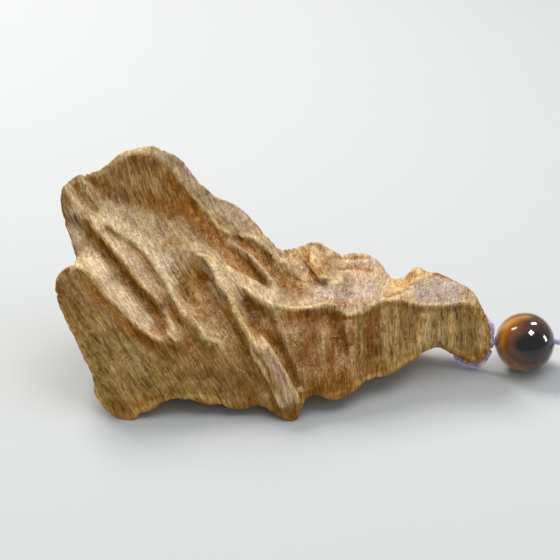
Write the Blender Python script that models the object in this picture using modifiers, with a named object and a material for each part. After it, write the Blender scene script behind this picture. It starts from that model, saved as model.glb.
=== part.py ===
"""Agarwood hand piece with a tiger's eye bead on a lilac cord.

Everything is in metres with +Z up. The piece lies on z = 0, and the origin is the middle of the floor under it.
The long side runs along X, the high crest is at -X, and the narrow end with the cord is at +X. The front is -Y.
"""

import math

import bmesh
import bpy
from mathutils import Vector, geometry

MM = 0.001

# The front and top of the wood are laid out as they look from a point in front of the piece and above it.
# A point there is (across, up, deep) in millimetres: across and up as seen, deep is its Y.
VIEW_RISE = math.radians(30)
VIEW_DISTANCE = 283.0
VIEW_HEIGHT = 18.4
CENTRE_X = 5.24
CENTRE_Y = -0.06

# How far the outline is spread so that it comes back to its place when the cage is rounded off, how far ridges
# stand out of the layout's depths, and how far gullies are cut into them
RIM_OUT = 0.55
RIDGE_OUT = 0.25
GULLY_IN = 0.75

# The cage: spacing of the points along a line, of the fill on the seen and the hidden sheet, and the least gap
LINE_STEP = 1.25
SEEN_STEP = 1.7
HIDDEN_STEP = 2.3
LEAST_GAP = 0.45
EDGE_MARGIN = 0.6
RELAX_ROUNDS = 400
RIDGE_CREASE = 0.55
GULLY_CREASE = 0.25
WOOD_TRIANGLES_KEPT = 0.42

# The bead, its bore along X, and the knot between it and the wood's tip
BEAD_DIAMETER = 10.2
BEAD_CENTRE = (41.9, 1.8, 5.1)
BORE_DIAMETER = 1.8
KNOT_CENTRE = (36.0, 1.8, 5.1)
KNOT_RADII = (0.75, 1.2, 1.4)

# The cord, the hole it goes through and its loop round the wood's tip, from above the knot to under it
CORD_DIAMETER = 1.0
CORD_STEP = 2.2
HOLE_DIAMETER = 2.2
HOLE_BACK = (30.6, 9.0, 11.1)
HOLE_UNDER = (29.9, 2.6, 2.3)
LOOP_ROUTE = [
    (36.1, 1.7, 6.6), (36.15, 2.4, 7.8), (35.3, 4.0, 8.4), (33.9, 6.2, 8.6), (32.3, 7.9, 9.0), (31.0, 8.3, 9.4),
    (30.4, 7.1, 8.5), (30.2, 5.4, 6.2), (30.1, 3.7, 3.8), (30.3, 2.6, 2.2), (31.0, 1.9, 1.2), (32.0, 1.4, 0.75),
    (33.3, 1.1, 0.65), (34.5, 1.1, 1.15), (35.4, 1.3, 2.2), (35.95, 1.6, 3.6),
]

# The free cord: straight out of the bead, down to the ground and into a coil of flat turns on two layers
TAIL_ROUTE = [
    (47.3, 1.8, 5.1), (48.6, 1.8, 5.05), (50.4, 1.8, 4.3), (52.3, 1.8, 2.8), (54.2, 1.8, 1.3), (56.2, 1.8, 0.6),
    (57.1, 1.8, 0.52),
]
COIL_CENTRE = (61.5, 9.05)
COIL_INNER = 4.25
COIL_OUTER = 7.25
COIL_LAYERS = 2
COIL_EDGE = 0.35
END_KNOT_RADIUS = 1.2
END_KNOT_CENTRE = (70.2, 12.6, 1.2)

# The wood's outline as seen, clockwise from the foot of the crest
CREST_LEFT = [
    (-34.0, 3.2, -1.6), (-35.0, 7.0, 1.0), (-35.9, 10.0, 3.0), (-36.75, 12.8, 4.0), (-36.5, 14.7, 5.0),
    (-35.9, 15.9, 6.0), (-35.0, 16.9, 7.0), (-33.9, 17.6, 7.5),
]
CREST_TOP = [
    (-32.8, 17.8, 8.0), (-31.3, 18.0, 8.5), (-29.8, 18.4, 9.0), (-28.5, 19.3, 9.5), (-27.2, 20.5, 10.0),
    (-26.2, 21.3, 10.5), (-24.6, 21.8, 11.0), (-22.8, 22.3, 11.0), (-21.2, 22.35, 11.0), (-19.6, 21.8, 10.7),
    (-18.2, 21.1, 10.2), (-16.7, 20.1, 10.0),
]
BACK_RIM = [
    (-15.6, 19.0, 9.5), (-14.6, 17.6, 8.8), (-13.4, 16.3, 8.3), (-12.2, 15.2, 8.0), (-11.1, 14.2, 7.5),
    (-9.8, 13.4, 7.0), (-8.35, 12.9, 7.0), (-6.9, 12.05, 6.5), (-5.6, 11.1, 6.0), (-4.6, 10.1, 6.0),
    (-3.7, 9.0, 6.0), (-2.6, 7.7, 6.0), (-1.6, 6.6, 6.5), (-0.6, 5.5, 7.0), (0.4, 5.0, 7.6), (1.6, 5.1, 8.5),
    (2.8, 5.4, 9.3), (4.1, 5.95, 10.0), (5.2, 6.4, 10.5), (6.5, 6.5, 10.5), (7.6, 5.95, 10.5), (8.4, 5.1, 10.5),
    (9.25, 4.55, 10.5), (10.2, 4.2, 11.0), (11.6, 4.4, 11.0), (13.0, 4.5, 11.0), (14.4, 4.35, 10.8),
    (15.7, 3.85, 10.2), (16.8, 2.6, 9.5), (17.7, 1.4, 8.4), (18.5, 0.5, 7.3), (19.6, 0.15, 7.0),
    (20.7, 0.4, 7.2), (21.6, 1.5, 8.0), (22.2, 2.1, 8.7), (22.9, 2.25, 9.0), (23.9, 1.9, 8.5), (25.0, 1.25, 7.5),
    (26.2, 1.1, 6.4), (27.4, 0.6, 5.9), (28.8, -0.05, 5.6), (30.2, -0.7, 5.0), (31.4, -1.3, 4.3),
]
RIGHT_TIP = [
    (32.3, -2.2, 3.3), (33.0, -3.7, 2.2), (33.7, -5.5, 1.0), (34.3, -7.0, 0.3), (34.7, -8.5, -0.1),
    (34.75, -10.0, -0.4), (34.5, -11.4, -0.4), (34.0, -12.6, -0.4), (33.3, -13.6, -0.3), (32.3, -14.05, -0.2),
    (31.2, -13.65, 0.0), (30.2, -13.0, 0.5), (29.1, -12.3, 0.9), (27.9, -11.8, 1.7), (26.8, -11.1, 2.6),
    (25.7, -11.15, 3.0), (24.7, -11.6, 2.0),
]
FRONT_FOOT = [
    (23.5, -12.3, -1.4), (22.6, -13.1, -3.0), (21.3, -13.9, -4.0), (20.0, -14.9, -5.3), (18.9, -15.8, -6.3),
    (17.4, -15.95, -6.9), (15.9, -16.25, -7.6), (14.6, -16.7, -8.5), (13.3, -17.6, -9.5), (12.2, -18.5, -10.5),
    (11.1, -19.3, -11.5), (9.9, -20.0, -12.1), (8.2, -20.1, -12.5), (6.8, -19.4, -12.5), (5.5, -19.15, -12.6),
    (4.6, -19.6, -13.0), (3.9, -20.7, -13.6), (3.4, -21.8, -14.0), (2.8, -23.1, -14.5), (1.65, -23.5, -14.7),
    (0.3, -23.1, -14.5), (-0.9, -22.4, -14.1), (-2.1, -21.3, -13.6), (-3.3, -20.75, -13.4), (-4.6, -20.95, -13.4),
    (-5.8, -21.6, -13.6), (-7.2, -21.6, -13.6), (-8.5, -21.2, -13.5), (-9.65, -20.5, -13.3),
    (-11.1, -20.85, -13.3), (-12.6, -20.7, -13.3), (-14.0, -20.2, -13.2), (-15.4, -19.95, -13.2),
    (-16.9, -19.85, -13.2), (-18.4, -19.8, -13.3), (-19.6, -20.2, -13.5), (-20.8, -21.35, -13.8),
    (-22.0, -21.8, -13.9), (-23.3, -22.1, -14.0), (-24.3, -23.0, -14.4),
]
LOBE_LEFT = [
    (-25.2, -23.6, -14.6), (-26.4, -23.2, -14.2), (-27.8, -22.5, -13.8), (-29.1, -21.4, -13.2),
    (-30.2, -20.1, -12.5), (-30.85, -18.8, -12.0), (-30.95, -17.2, -11.5), (-31.4, -15.8, -11.2),
    (-32.2, -14.5, -10.8), (-33.0, -12.85, -10.4), (-33.6, -11.0, -10.0), (-34.4, -9.3, -9.4),
    (-35.3, -7.7, -8.8), (-36.0, -5.8, -8.1), (-36.7, -4.0, -7.5), (-37.2, -2.3, -7.0), (-37.4, -0.8, -6.5),
    (-37.2, 0.5, -6.1), (-36.4, 1.5, -5.7), (-35.3, 2.3, -5.3), (-34.2, 2.6, -4.8),
]
OUTLINE = CREST_LEFT + CREST_TOP + BACK_RIM + RIGHT_TIP + FRONT_FOOT + LOBE_LEFT

# Ridges of the seen side
LOBE_EDGE = [
    (-33.2, 2.2, -5.3), (-31.9, 1.1, -5.8), (-30.9, 0.2, -6.0), (-29.1, -2.3, -6.9), (-27.0, -4.15, -7.6),
    (-24.65, -6.7, -8.5), (-23.5, -7.85, -9.0), (-22.0, -9.0, -9.6), (-19.8, -10.2, -10.5),
]
LOBE_RISE = [(-32.6, -4.0, -8.0), (-31.0, -9.0, -10.0), (-29.0, -14.0, -12.0), (-27.0, -19.0, -13.8)]
SECOND_FOLD = [
    (-31.3, 9.5, 2.6), (-28.7, 6.3, 0.9), (-27.2, 4.5, -0.3), (-25.8, 3.0, -1.3), (-23.5, 0.0, -3.2),
    (-21.3, -2.3, -4.7), (-20.0, -3.4, -5.6), (-19.6, -4.7, -6.3),
]
THIRD_FOLD = [
    (-33.9, 10.4, 3.0), (-31.5, 10.4, 3.8), (-30.0, 9.6, 3.9), (-26.9, 7.9, 3.1), (-24.3, 6.1, 2.0),
    (-21.7, 3.7, 0.2), (-20.2, 1.5, -1.5), (-19.1, 0.0, -2.6), (-17.8, -2.85, -4.9), (-15.8, -5.6, -6.9),
    (-13.5, -7.85, -8.1), (-12.2, -10.4, -9.6),
]
SMALL_FOLD = [(-18.9, -8.2, -8.3), (-18.0, -9.3, -9.1), (-17.0, -10.3, -9.8)]
CREST_EDGE = [(-35.6, 15.4, 5.5), (-34.6, 13.9, 4.9), (-33.7, 12.6, 4.4), (-32.2, 11.3, 4.0)]
CREST_RIB = [(-33.2, 16.6, 7.2), (-32.0, 15.8, 7.0), (-30.9, 14.1, 6.5), (-29.7, 11.6, 5.3)]
RIM_EDGE = [
    (-26.3, 20.2, 9.9), (-22.8, 20.7, 9.9), (-20.0, 19.9, 9.7), (-17.9, 18.6, 9.2), (-16.1, 16.3, 8.4),
    (-14.6, 14.1, 7.5), (-12.4, 11.9, 6.5), (-10.2, 8.9, 4.9), (-8.5, 8.0, 4.1), (-6.9, 7.6, 3.7),
    (-5.0, 7.2, 3.3), (-3.7, 6.7, 3.1), (-2.6, 5.6, 2.7), (-0.4, 3.4, 2.3), (1.3, 2.8, 2.6),
]
MIDDLE_RIDGE = [
    (-8.7, 7.2, 3.3), (-6.9, 5.8, 1.9), (-5.6, 4.65, 0.8), (-4.3, 3.35, -0.2), (-1.9, 0.6, -2.0),
    (-0.2, -1.5, -3.2),
]
GULLY_LIP = [
    (-13.9, 4.8, 1.2), (-11.9, 3.7, 0.4), (-10.6, 2.4, -0.6), (-8.7, 1.9, -0.8), (-7.0, 0.95, -1.4),
    (-5.0, 0.0, -1.9), (-3.2, -0.9, -2.5),
]
HOLLOW_LIP = [(-20.0, 5.5, 2.0), (-19.5, 3.7, 0.9), (-18.2, 3.3, 0.5), (-16.0, 4.5, 1.0), (-13.9, 4.8, 1.2)]
SPIKE_RIDGE = [
    (-13.9, 4.8, 1.2), (-12.4, 3.9, 0.3), (-11.3, 2.2, -1.2), (-9.8, -1.3, -3.9), (-8.35, -2.9, -5.0),
    (-7.4, -5.35, -6.9), (-5.2, -9.05, -9.4), (-3.2, -12.3, -11.5), (-1.8, -14.5, -12.6), (-0.4, -16.5, -13.4),
    (0.7, -18.5, -14.0), (1.6, -20.8, -14.6),
]
SPIKE_LEFT = [(-3.9, -13.9, -11.8), (-2.6, -15.5, -12.6), (-1.3, -17.2, -13.3), (0.6, -21.0, -14.4)]
SPIKE_RIGHT = [(-2.05, -10.7, -10.1), (-0.6, -13.1, -11.5), (2.0, -17.2, -13.3), (3.0, -20.2, -14.1)]
FRONT_EDGE = [
    (-6.3, -1.3, -3.9), (-4.8, -2.2, -4.5), (-3.7, -3.1, -5.0), (-2.4, -3.9, -5.3), (0.5, -4.5, -5.5),
    (2.2, -4.9, -5.5), (5.5, -4.6, -5.1), (8.1, -3.95, -4.4), (9.6, -4.6, -4.6), (11.5, -5.8, -4.8),
    (14.05, -5.0, -3.6), (15.7, -3.8, -2.4), (17.0, -3.3, -1.8), (18.7, -3.3, -1.6), (20.0, -2.7, -0.8),
]
END_FACET_FRONT = [
    (20.2, -3.3, -1.2), (21.65, -4.0, -1.3), (25.7, -4.4, -1.3), (28.1, -4.15, -1.1), (30.2, -3.8, -0.8),
    (31.3, -4.25, -0.3), (32.6, -5.6, 0.5),
]
END_FACET_BACK = [(18.3, -2.3, 0.5), (20.0, -1.55, 2.0), (22.8, -0.25, 4.3), (24.8, 0.0, 5.0), (25.7, 0.6, 6.0)]
END_PEAK = [(22.8, 1.5, 7.9), (23.3, 0.8, 6.4), (24.2, 0.3, 5.4)]
PEAK_RIDGE_LEFT = [(3.4, 4.6, 7.9), (4.25, 3.2, 5.6), (5.35, 1.9, 3.6), (6.1, 0.75, 2.0), (7.4, 0.0, 1.0)]
PEAK_RIDGE_RIGHT = [
    (5.7, 5.2, 8.4), (6.3, 2.8, 4.9), (7.4, 1.1, 2.4), (8.5, 0.4, 1.6), (10.6, -1.1, -0.3), (11.6, -2.6, -2.0),
]
RIBS = [
    [(11.4, -6.6, -5.3), (11.1, -8.3, -6.2), (11.8, -11.1, -7.5), (12.1, -16.5, -10.1)],
    [(-0.8, -5.0, -5.8), (0.0, -7.6, -7.2), (1.1, -10.35, -9.0), (2.9, -14.8, -11.2), (4.5, -18.3, -12.6)],
    [(17.0, -4.6, -2.6), (17.3, -8.0, -4.1), (17.6, -12.0, -5.8), (17.7, -14.9, -6.8)],
    [(19.5, -4.4, -2.0), (19.6, -6.1, -2.7), (19.4, -9.9, -4.1), (19.3, -13.9, -5.8)],
    [(23.9, -5.4, -1.9), (23.9, -6.9, -2.1), (23.4, -9.0, -2.5), (22.8, -11.6, -2.9)],
    [(28.0, -5.2, -1.5), (28.0, -8.5, -1.2), (27.9, -11.0, 0.0)],
    [(33.2, -7.6, 0.5), (33.5, -11.3, 0.2)],
    [(7.4, -8.2, -6.9), (7.2, -10.9, -8.6), (7.4, -16.0, -11.3)],
]
RIDGES = [
    LOBE_EDGE, LOBE_RISE, SECOND_FOLD, THIRD_FOLD, SMALL_FOLD, CREST_EDGE, CREST_RIB, RIM_EDGE, MIDDLE_RIDGE,
    GULLY_LIP, HOLLOW_LIP, SPIKE_RIDGE, SPIKE_LEFT, SPIKE_RIGHT, FRONT_EDGE, END_FACET_FRONT, END_FACET_BACK,
    END_PEAK, PEAK_RIDGE_LEFT, PEAK_RIDGE_RIGHT,
] + RIBS

# Gullies, creases and pits of the seen side
GULLIES = [
    # under the lobe's edge
    [(-24.3, -8.8, -9.3), (-21.7, -10.6, -10.3), (-20.2, -11.9, -10.9), (-18.5, -13.9, -11.7)],
    # between the lobe and the second fold
    [(-31.0, 7.9, 2.1), (-29.5, 5.6, 0.8), (-27.2, 2.6, -1.0), (-24.5, -1.2, -3.3), (-21.7, -4.15, -5.2),
     (-20.2, -6.4, -6.9), (-20.6, -8.4, -8.0)],
    # between the second and the third fold
    [(-28.5, 8.3, 3.3), (-25.0, 6.3, 1.7), (-23.4, 4.5, 0.4), (-21.3, 1.1, -1.9), (-19.8, -1.9, -4.1),
     (-18.7, -3.8, -5.5), (-17.8, -6.6, -7.2), (-15.2, -8.4, -8.4), (-13.7, -12.1, -10.6)],
    # down the crest's left end
    [(-34.0, 15.6, 6.6), (-32.8, 15.0, 6.6), (-32.0, 13.5, 6.0), (-30.3, 11.0, 4.8)],
    [(-33.9, 9.3, 3.0), (-32.0, 7.8, 2.2), (-32.4, 5.9, 1.0), (-32.8, 3.9, -0.6)],
    # the foot of the crest's wall
    [(-31.8, 16.6, 7.8), (-29.65, 14.5, 7.5), (-28.2, 12.8, 7.2), (-25.4, 12.2, 7.1), (-23.5, 12.4, 7.1),
     (-20.0, 10.9, 6.1), (-18.5, 11.5, 6.1), (-16.1, 9.1, 4.6), (-13.9, 6.3, 2.4), (-12.1, 4.6, 1.0)],
    # the long gully down the middle
    [(-19.0, 17.6, 8.6), (-15.6, 13.35, 6.4), (-13.7, 11.3, 5.1), (-12.1, 9.1, 3.8), (-9.6, 6.3, 2.1),
     (-6.9, 3.7, 0.6), (-4.1, 1.1, -0.8), (-2.2, -0.7, -1.8)],
    # the upper gully beside it
    [(-7.4, 7.0, 3.0), (-5.4, 6.1, 2.2), (-3.5, 4.65, 1.5), (-1.7, 2.6, 0.6), (0.0, 0.95, -0.3),
     (1.65, -0.5, -1.2), (3.7, -1.1, -1.5), (5.6, -2.3, -2.2)],
    # the hollow between the third fold and the spike's ridge
    [(-17.6, 1.2, -0.8), (-16.1, -1.4, -2.0), (-14.8, -3.2, -3.6), (-13.2, -5.0, -5.2), (-11.4, -7.0, -7.0)],
    [(-14.6, 2.2, -0.4), (-13.4, -0.6, -2.2), (-12.4, -3.4, -4.4)],
    # left of the spike's ridge
    [(-11.6, 0.4, -2.2), (-10.6, -2.0, -3.9), (-9.3, -4.8, -6.0), (-7.6, -8.6, -8.5), (-5.6, -11.8, -10.3),
     (-4.2, -15.0, -11.8), (-2.4, -18.2, -12.9)],
    # the pocket right of it, under the front edge
    [(-6.4, -2.2, -4.4), (-5.0, -3.9, -5.0), (-5.0, -6.2, -6.7), (-3.35, -9.05, -8.2), (-1.9, -9.9, -8.7),
     (-0.4, -11.65, -9.9), (0.9, -13.5, -11.0), (2.6, -17.6, -12.8)],
    [(-3.4, -5.4, -5.7), (-1.9, -6.4, -6.4)],
    # pockets and flutes of the front face
    [(3.6, -6.0, -5.3), (5.3, -6.1, -5.0), (5.2, -8.2, -6.9), (5.4, -12.0, -9.3)],
    [(8.0, -5.4, -4.6), (8.7, -6.2, -4.6), (9.2, -8.6, -6.4), (9.6, -12.4, -8.7)],
    [(14.9, -6.0, -3.8), (14.4, -8.3, -4.9), (14.8, -12.0, -6.4), (14.8, -15.0, -7.8)],
    [(21.2, -5.2, -1.5), (21.0, -8.5, -2.4), (21.3, -12.2, -3.9)],
    [(25.9, -5.6, -1.2), (25.8, -8.0, -0.8), (25.7, -10.0, 0.6)],
    [(30.7, -5.4, -0.9), (30.7, -8.5, -0.6), (30.6, -11.8, 0.0)],
    # the dark facets and creases round the small peak
    [(1.2, 4.1, 7.2), (2.6, 3.2, 6.2), (4.6, 1.4, 3.8), (5.7, 0.2, 2.3)],
    [(4.9, 4.2, 7.2), (5.9, 2.0, 4.0), (7.0, 0.5, 2.0)],
    [(3.3, 0.0, 1.9), (7.6, -0.8, 0.6)],
    # the saddle behind the front edge and the trough behind the end facet
    [(9.6, 2.0, 6.9), (12.6, 2.0, 7.2), (15.6, 1.8, 6.9), (17.4, -0.6, 3.9)],
    [(11.4, -1.0, 2.6), (13.4, -1.6, 1.8), (15.2, -1.2, 2.1)],
    [(19.0, -0.8, 4.6), (20.6, -0.7, 5.2), (21.9, 0.2, 6.2)],
]

# The hidden back and underside, as (x, y, z): ridges down the back wall, the gullies between them, the edge at
# the bottom of the wall and the shallow arches under the piece
BACK_RIDGES = [
    [(-34.5, 6.5, 27.0), (-33.5, 9.5, 20.0), (-31.5, 12.0, 10.0), (-29.5, 12.0, 3.5)],
    [(-25.0, 13.0, 31.0), (-23.5, 14.2, 22.0), (-22.0, 14.6, 12.0), (-20.5, 14.0, 4.0)],
    [(-19.5, 11.8, 32.0), (-18.5, 12.8, 26.0)],
    [(-11.5, 9.6, 26.0), (-10.0, 12.0, 17.0), (-9.0, 13.2, 9.0), (-7.5, 13.0, 3.5)],
    [(5.5, 12.4, 16.5), (6.3, 13.6, 10.0), (7.0, 13.6, 4.0)],
    [(17.0, 11.2, 11.5), (17.6, 11.4, 6.5)],
    [(24.0, 9.6, 12.0), (25.5, 9.4, 7.5)],
    [(32.4, 4.4, 12.0), (33.4, 3.6, 8.5), (33.3, 2.8, 5.0)],
]
BACK_GULLIES = [
    [(-29.8, 10.2, 29.0), (-28.2, 11.2, 20.0), (-26.6, 11.6, 11.0), (-25.2, 11.8, 7.0)],
    [(-16.0, 10.0, 29.0), (-15.5, 10.6, 20.0), (-14.0, 11.0, 11.0), (-13.0, 10.6, 5.5)],
    [(-4.0, 7.6, 20.0), (-2.5, 9.0, 12.0), (-1.0, 9.2, 6.0)],
    [(12.0, 11.0, 13.5), (12.6, 11.0, 7.5)],
    [(20.6, 8.0, 11.5), (21.2, 8.4, 8.0)],
]
BOTTOM_EDGE = [
    (-33.5, 4.0, 8.0), (-32.4, 8.5, 4.0), (-30.0, 11.2, 1.4), (-26.0, 12.4, -0.5), (-21.0, 13.2, -0.9),
    (-17.0, 12.6, -0.5), (-13.5, 11.0, 2.2), (-8.0, 12.2, 0.9), (-2.5, 10.0, 3.0), (3.0, 11.6, 0.3),
    (7.0, 12.8, -0.9), (10.5, 12.0, -0.3), (13.0, 10.6, 2.6), (18.0, 10.2, 3.4), (23.0, 8.4, 4.6),
    (27.5, 7.6, 4.6), (31.0, 5.8, 4.6), (32.8, 3.4, 4.6),
]
UNDERSIDE = [
    [(-30.5, 4.0, 4.0), (-28.0, -2.0, 4.6), (-26.0, -8.0, 3.4)],
    [(-25.0, 9.0, -0.6), (-21.0, 9.4, -0.9), (-18.0, 9.2, -0.5)],
    [(-20.0, 3.0, 3.4), (-12.0, 1.0, 4.4), (-4.0, 1.0, 4.6), (4.0, 2.0, 4.2), (11.0, 3.0, 5.4), (20.0, 3.0, 6.2)],
    [(5.6, 9.4, -0.3), (9.0, 9.0, 0.2)],
    [(-18.0, -8.0, 4.0), (-8.0, -8.0, 4.2), (2.0, -9.0, 2.2), (10.0, -6.0, 4.6)],
]


def from_view(across, up, deep):
    """The place in millimetres of a point laid out as seen."""
    rise, run = math.sin(VIEW_RISE), math.cos(VIEW_RISE)
    back = (deep - rise * up) / (run + rise * up / VIEW_DISTANCE)
    spread = 1 + back / VIEW_DISTANCE
    return (across * spread, deep, VIEW_HEIGHT + run * up * spread - rise * back)


def as_seen(x, y, z):
    """Where a point is seen, as (across, up)."""
    rise, run = math.sin(VIEW_RISE), math.cos(VIEW_RISE)
    back = run * y - rise * (z - VIEW_HEIGHT)
    spread = 1 + back / VIEW_DISTANCE
    return (x / spread, (rise * y + run * (z - VIEW_HEIGHT)) / spread)


def placed(x, y, z):
    """A point in millimetres as a vector in metres, with the origin under the middle of the piece."""
    return Vector((x - CENTRE_X, y - CENTRE_Y, z)) * MM


def shifted(points, amount):
    return [(across, up, deep + amount) for across, up, deep in points]


def smooth_curve(points, step):
    """Points about one step apart on a smooth curve through the given ones."""
    knots = [Vector(p) for p in points]
    ends = [2 * knots[0] - knots[1]] + knots + [2 * knots[-1] - knots[-2]]
    curve = [knots[0]]
    for before, start, end, after in zip(ends, ends[1:], ends[2:], ends[3:]):
        count = max(1, round((end - start).length / step))
        for i in range(1, count + 1):
            t = i / count
            curve.append(0.5 * (2 * start + (end - before) * t
                                + (2 * before - 5 * start + 4 * end - after) * t * t
                                + (3 * start - before - 3 * end + after) * t ** 3))
    return curve


def spread_out(ring, amount):
    """A clockwise ring's points moved outwards by an amount."""
    moved = []
    for before, point, after in zip(ring[-1:] + ring[:-1], ring, ring[1:] + ring[:1]):
        along = (after - before).normalized()
        moved.append(point + Vector((-along.y, along.x)) * amount)
    return moved


class Sheet:
    """One side of the wood, spread over the outline as seen. Its points hold (across, up) and their depth."""

    def __init__(self, outline):
        self.ring = spread_out([Vector(p[:2]) for p in outline], RIM_OUT)
        self.flat = list(self.ring)
        self.depth = [p[2] for p in outline]
        self.edges = [(i, (i + 1) % len(outline)) for i in range(len(outline))]
        self.creases = []

    def inside(self, point):
        crossings = 0
        for a, b in zip(self.ring, self.ring[1:] + self.ring[:1]):
            if (a.y > point.y) != (b.y > point.y):
                crossings += point.x < a.x + (point.y - a.y) * (b.x - a.x) / (b.y - a.y)
        return crossings % 2 == 1

    def rim_gap(self, point):
        return min(near_gap(point, a, b) for a, b in zip(self.ring, self.ring[1:] + self.ring[:1]))

    def near(self, point, gap):
        for i, other in enumerate(self.flat):
            if (other - point).length < gap:
                return i
        return None

    def add_line(self, points, crease):
        """Adds a ridge or gully, broken where it would come too near the outline."""
        last = None
        for p in smooth_curve(points, LINE_STEP):
            flat = Vector((p.x, p.y))
            if not self.inside(flat) or self.rim_gap(flat) < EDGE_MARGIN:
                last = None
                continue
            index = self.near(flat, LEAST_GAP)
            if index is None:
                index = len(self.flat)
                self.flat.append(flat)
                self.depth.append(p.z)
            if last is not None and last != index:
                self.edges.append((last, index))
                self.creases.append((last, index, crease))
            last = index

    def fill(self, step):
        """Adds free points on a triangular lattice wherever no other point is near."""
        low = Vector((min(p.x for p in self.ring), min(p.y for p in self.ring)))
        high = Vector((max(p.x for p in self.ring), max(p.y for p in self.ring)))
        row_height = step * math.sqrt(0.75)
        for row in range(int((high.y - low.y) / row_height) + 1):
            for column in range(int((high.x - low.x) / step) + 2):
                point = low + Vector(((column + 0.5 * (row % 2)) * step, row * row_height))
                if not self.inside(point) or self.rim_gap(point) < 0.6 * step:
                    continue
                if self.near(point, 0.68 * step) is None:
                    self.flat.append(point)
                    self.depth.append(None)

    def triangles(self):
        """Joins the points, with a new one in the middle of each chord that would join two outline points."""
        count = len(self.ring)
        while True:
            flat, _, faces, origins, _, _ = geometry.delaunay_2d_cdt(self.flat, self.edges, [], 1, 1e-6)
            rim = {i: min(origin) for i, origin in enumerate(origins) if origin and min(origin) < count}
            chords = set()
            for face in faces:
                for a, b in zip(face, face[1:] + face[:1]):
                    if a in rim and b in rim and (rim[a] - rim[b]) % count not in (1, count - 1):
                        chords.add((min(a, b), max(a, b)))
            if not chords:
                return flat, faces, origins
            for a, b in sorted(chords):
                self.flat.append((flat[a] + flat[b]) / 2)
                self.depth.append(None)

    def solve(self):
        """Lets the free points of the joined sheet settle between their neighbours."""
        flat, faces, origins = self.triangles()
        depth = []
        free = []
        for i, origin in enumerate(origins):
            known = [self.depth[o] for o in origin if self.depth[o] is not None]
            depth.append(known[0] if known else 0.0)
            if not known:
                free.append(i)
        around = [set() for _ in flat]
        for face in faces:
            for a, b in zip(face, face[1:] + face[:1]):
                around[a].add(b)
                around[b].add(a)
        for _ in range(RELAX_ROUNDS):
            for i in free:
                depth[i] = sum(depth[j] for j in around[i]) / len(around[i])
        index_of = {o: i for i, origin in enumerate(origins) for o in origin}
        creases = [(index_of[a], index_of[b], crease) for a, b, crease in self.creases]
        rim = [index_of[i] for i in range(len(self.ring))]
        return [from_view(p.x, p.y, d) for p, d in zip(flat, depth)], faces, creases, rim


def near_gap(point, a, b):
    """The distance from a point to the stretch from a to b."""
    along = b - a
    t = max(0.0, min(1.0, (point - a).dot(along) / along.length_squared))
    return (a + along * t - point).length


def new_collection(name, hidden=False):
    collection = bpy.data.collections.new(name)
    collection.hide_render = hidden
    bpy.context.scene.collection.children.link(collection)
    return collection


def material(name, colour, roughness, metallic=0.0):
    made = bpy.data.materials.new(name)
    made.use_nodes = True
    shader = made.node_tree.nodes["Principled BSDF"]
    shader.inputs["Base Color"].default_value = (*colour, 1)
    shader.inputs["Roughness"].default_value = roughness
    shader.inputs["Metallic"].default_value = metallic
    return made


def object_of(name, bm, collection, surface=None):
    mesh = bpy.data.meshes.new(name)
    bmesh.ops.recalc_face_normals(bm, faces=bm.faces)
    bm.to_mesh(mesh)
    bm.free()
    obj = bpy.data.objects.new(name, mesh)
    collection.objects.link(obj)
    if surface:
        mesh.materials.append(surface)
        mesh.shade_smooth()
    else:
        obj.hide_render = True
        obj.display_type = "WIRE"
    return obj


def cut(obj, cutter):
    modifier = obj.modifiers.new("cut by " + cutter.name, "BOOLEAN")
    modifier.operation = "DIFFERENCE"
    modifier.object = cutter


def tube(name, route, diameter, collection, surface):
    """A round cord along a route in millimetres, as a closed mesh."""
    curve = bpy.data.curves.new(name, "CURVE")
    curve.dimensions = "3D"
    curve.bevel_depth = diameter / 2 * MM
    curve.bevel_resolution = 2
    curve.use_fill_caps = True
    spline = curve.splines.new("POLY")
    spline.points.add(len(route) - 1)
    for point, place in zip(spline.points, route):
        point.co = (*placed(*place), 1)
    drawn = bpy.data.objects.new(name, curve)
    collection.objects.link(drawn)
    bpy.context.view_layer.update()
    mesh = bpy.data.meshes.new_from_object(drawn.evaluated_get(bpy.context.evaluated_depsgraph_get()))
    bpy.data.objects.remove(drawn)
    bm = bmesh.new()
    bm.from_mesh(mesh)
    bmesh.ops.remove_doubles(bm, verts=bm.verts, dist=1e-6)
    return object_of(name, bm, collection, surface)


def seen_sheet():
    sheet = Sheet(OUTLINE)
    for line in RIDGES:
        sheet.add_line(shifted(line, -RIDGE_OUT), RIDGE_CREASE)
    for line in GULLIES:
        sheet.add_line(shifted(line, GULLY_IN), GULLY_CREASE)
    sheet.fill(SEEN_STEP)
    return sheet.solve()


def hidden_sheet():
    sheet = Sheet(OUTLINE)
    for line in BACK_RIDGES + [BOTTOM_EDGE]:
        sheet.add_line([(*as_seen(*p), p[1]) for p in line], RIDGE_CREASE)
    for line in BACK_GULLIES + UNDERSIDE:
        sheet.add_line([(*as_seen(*p), p[1]) for p in line], GULLY_CREASE)
    sheet.fill(HIDDEN_STEP)
    return sheet.solve()


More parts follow.
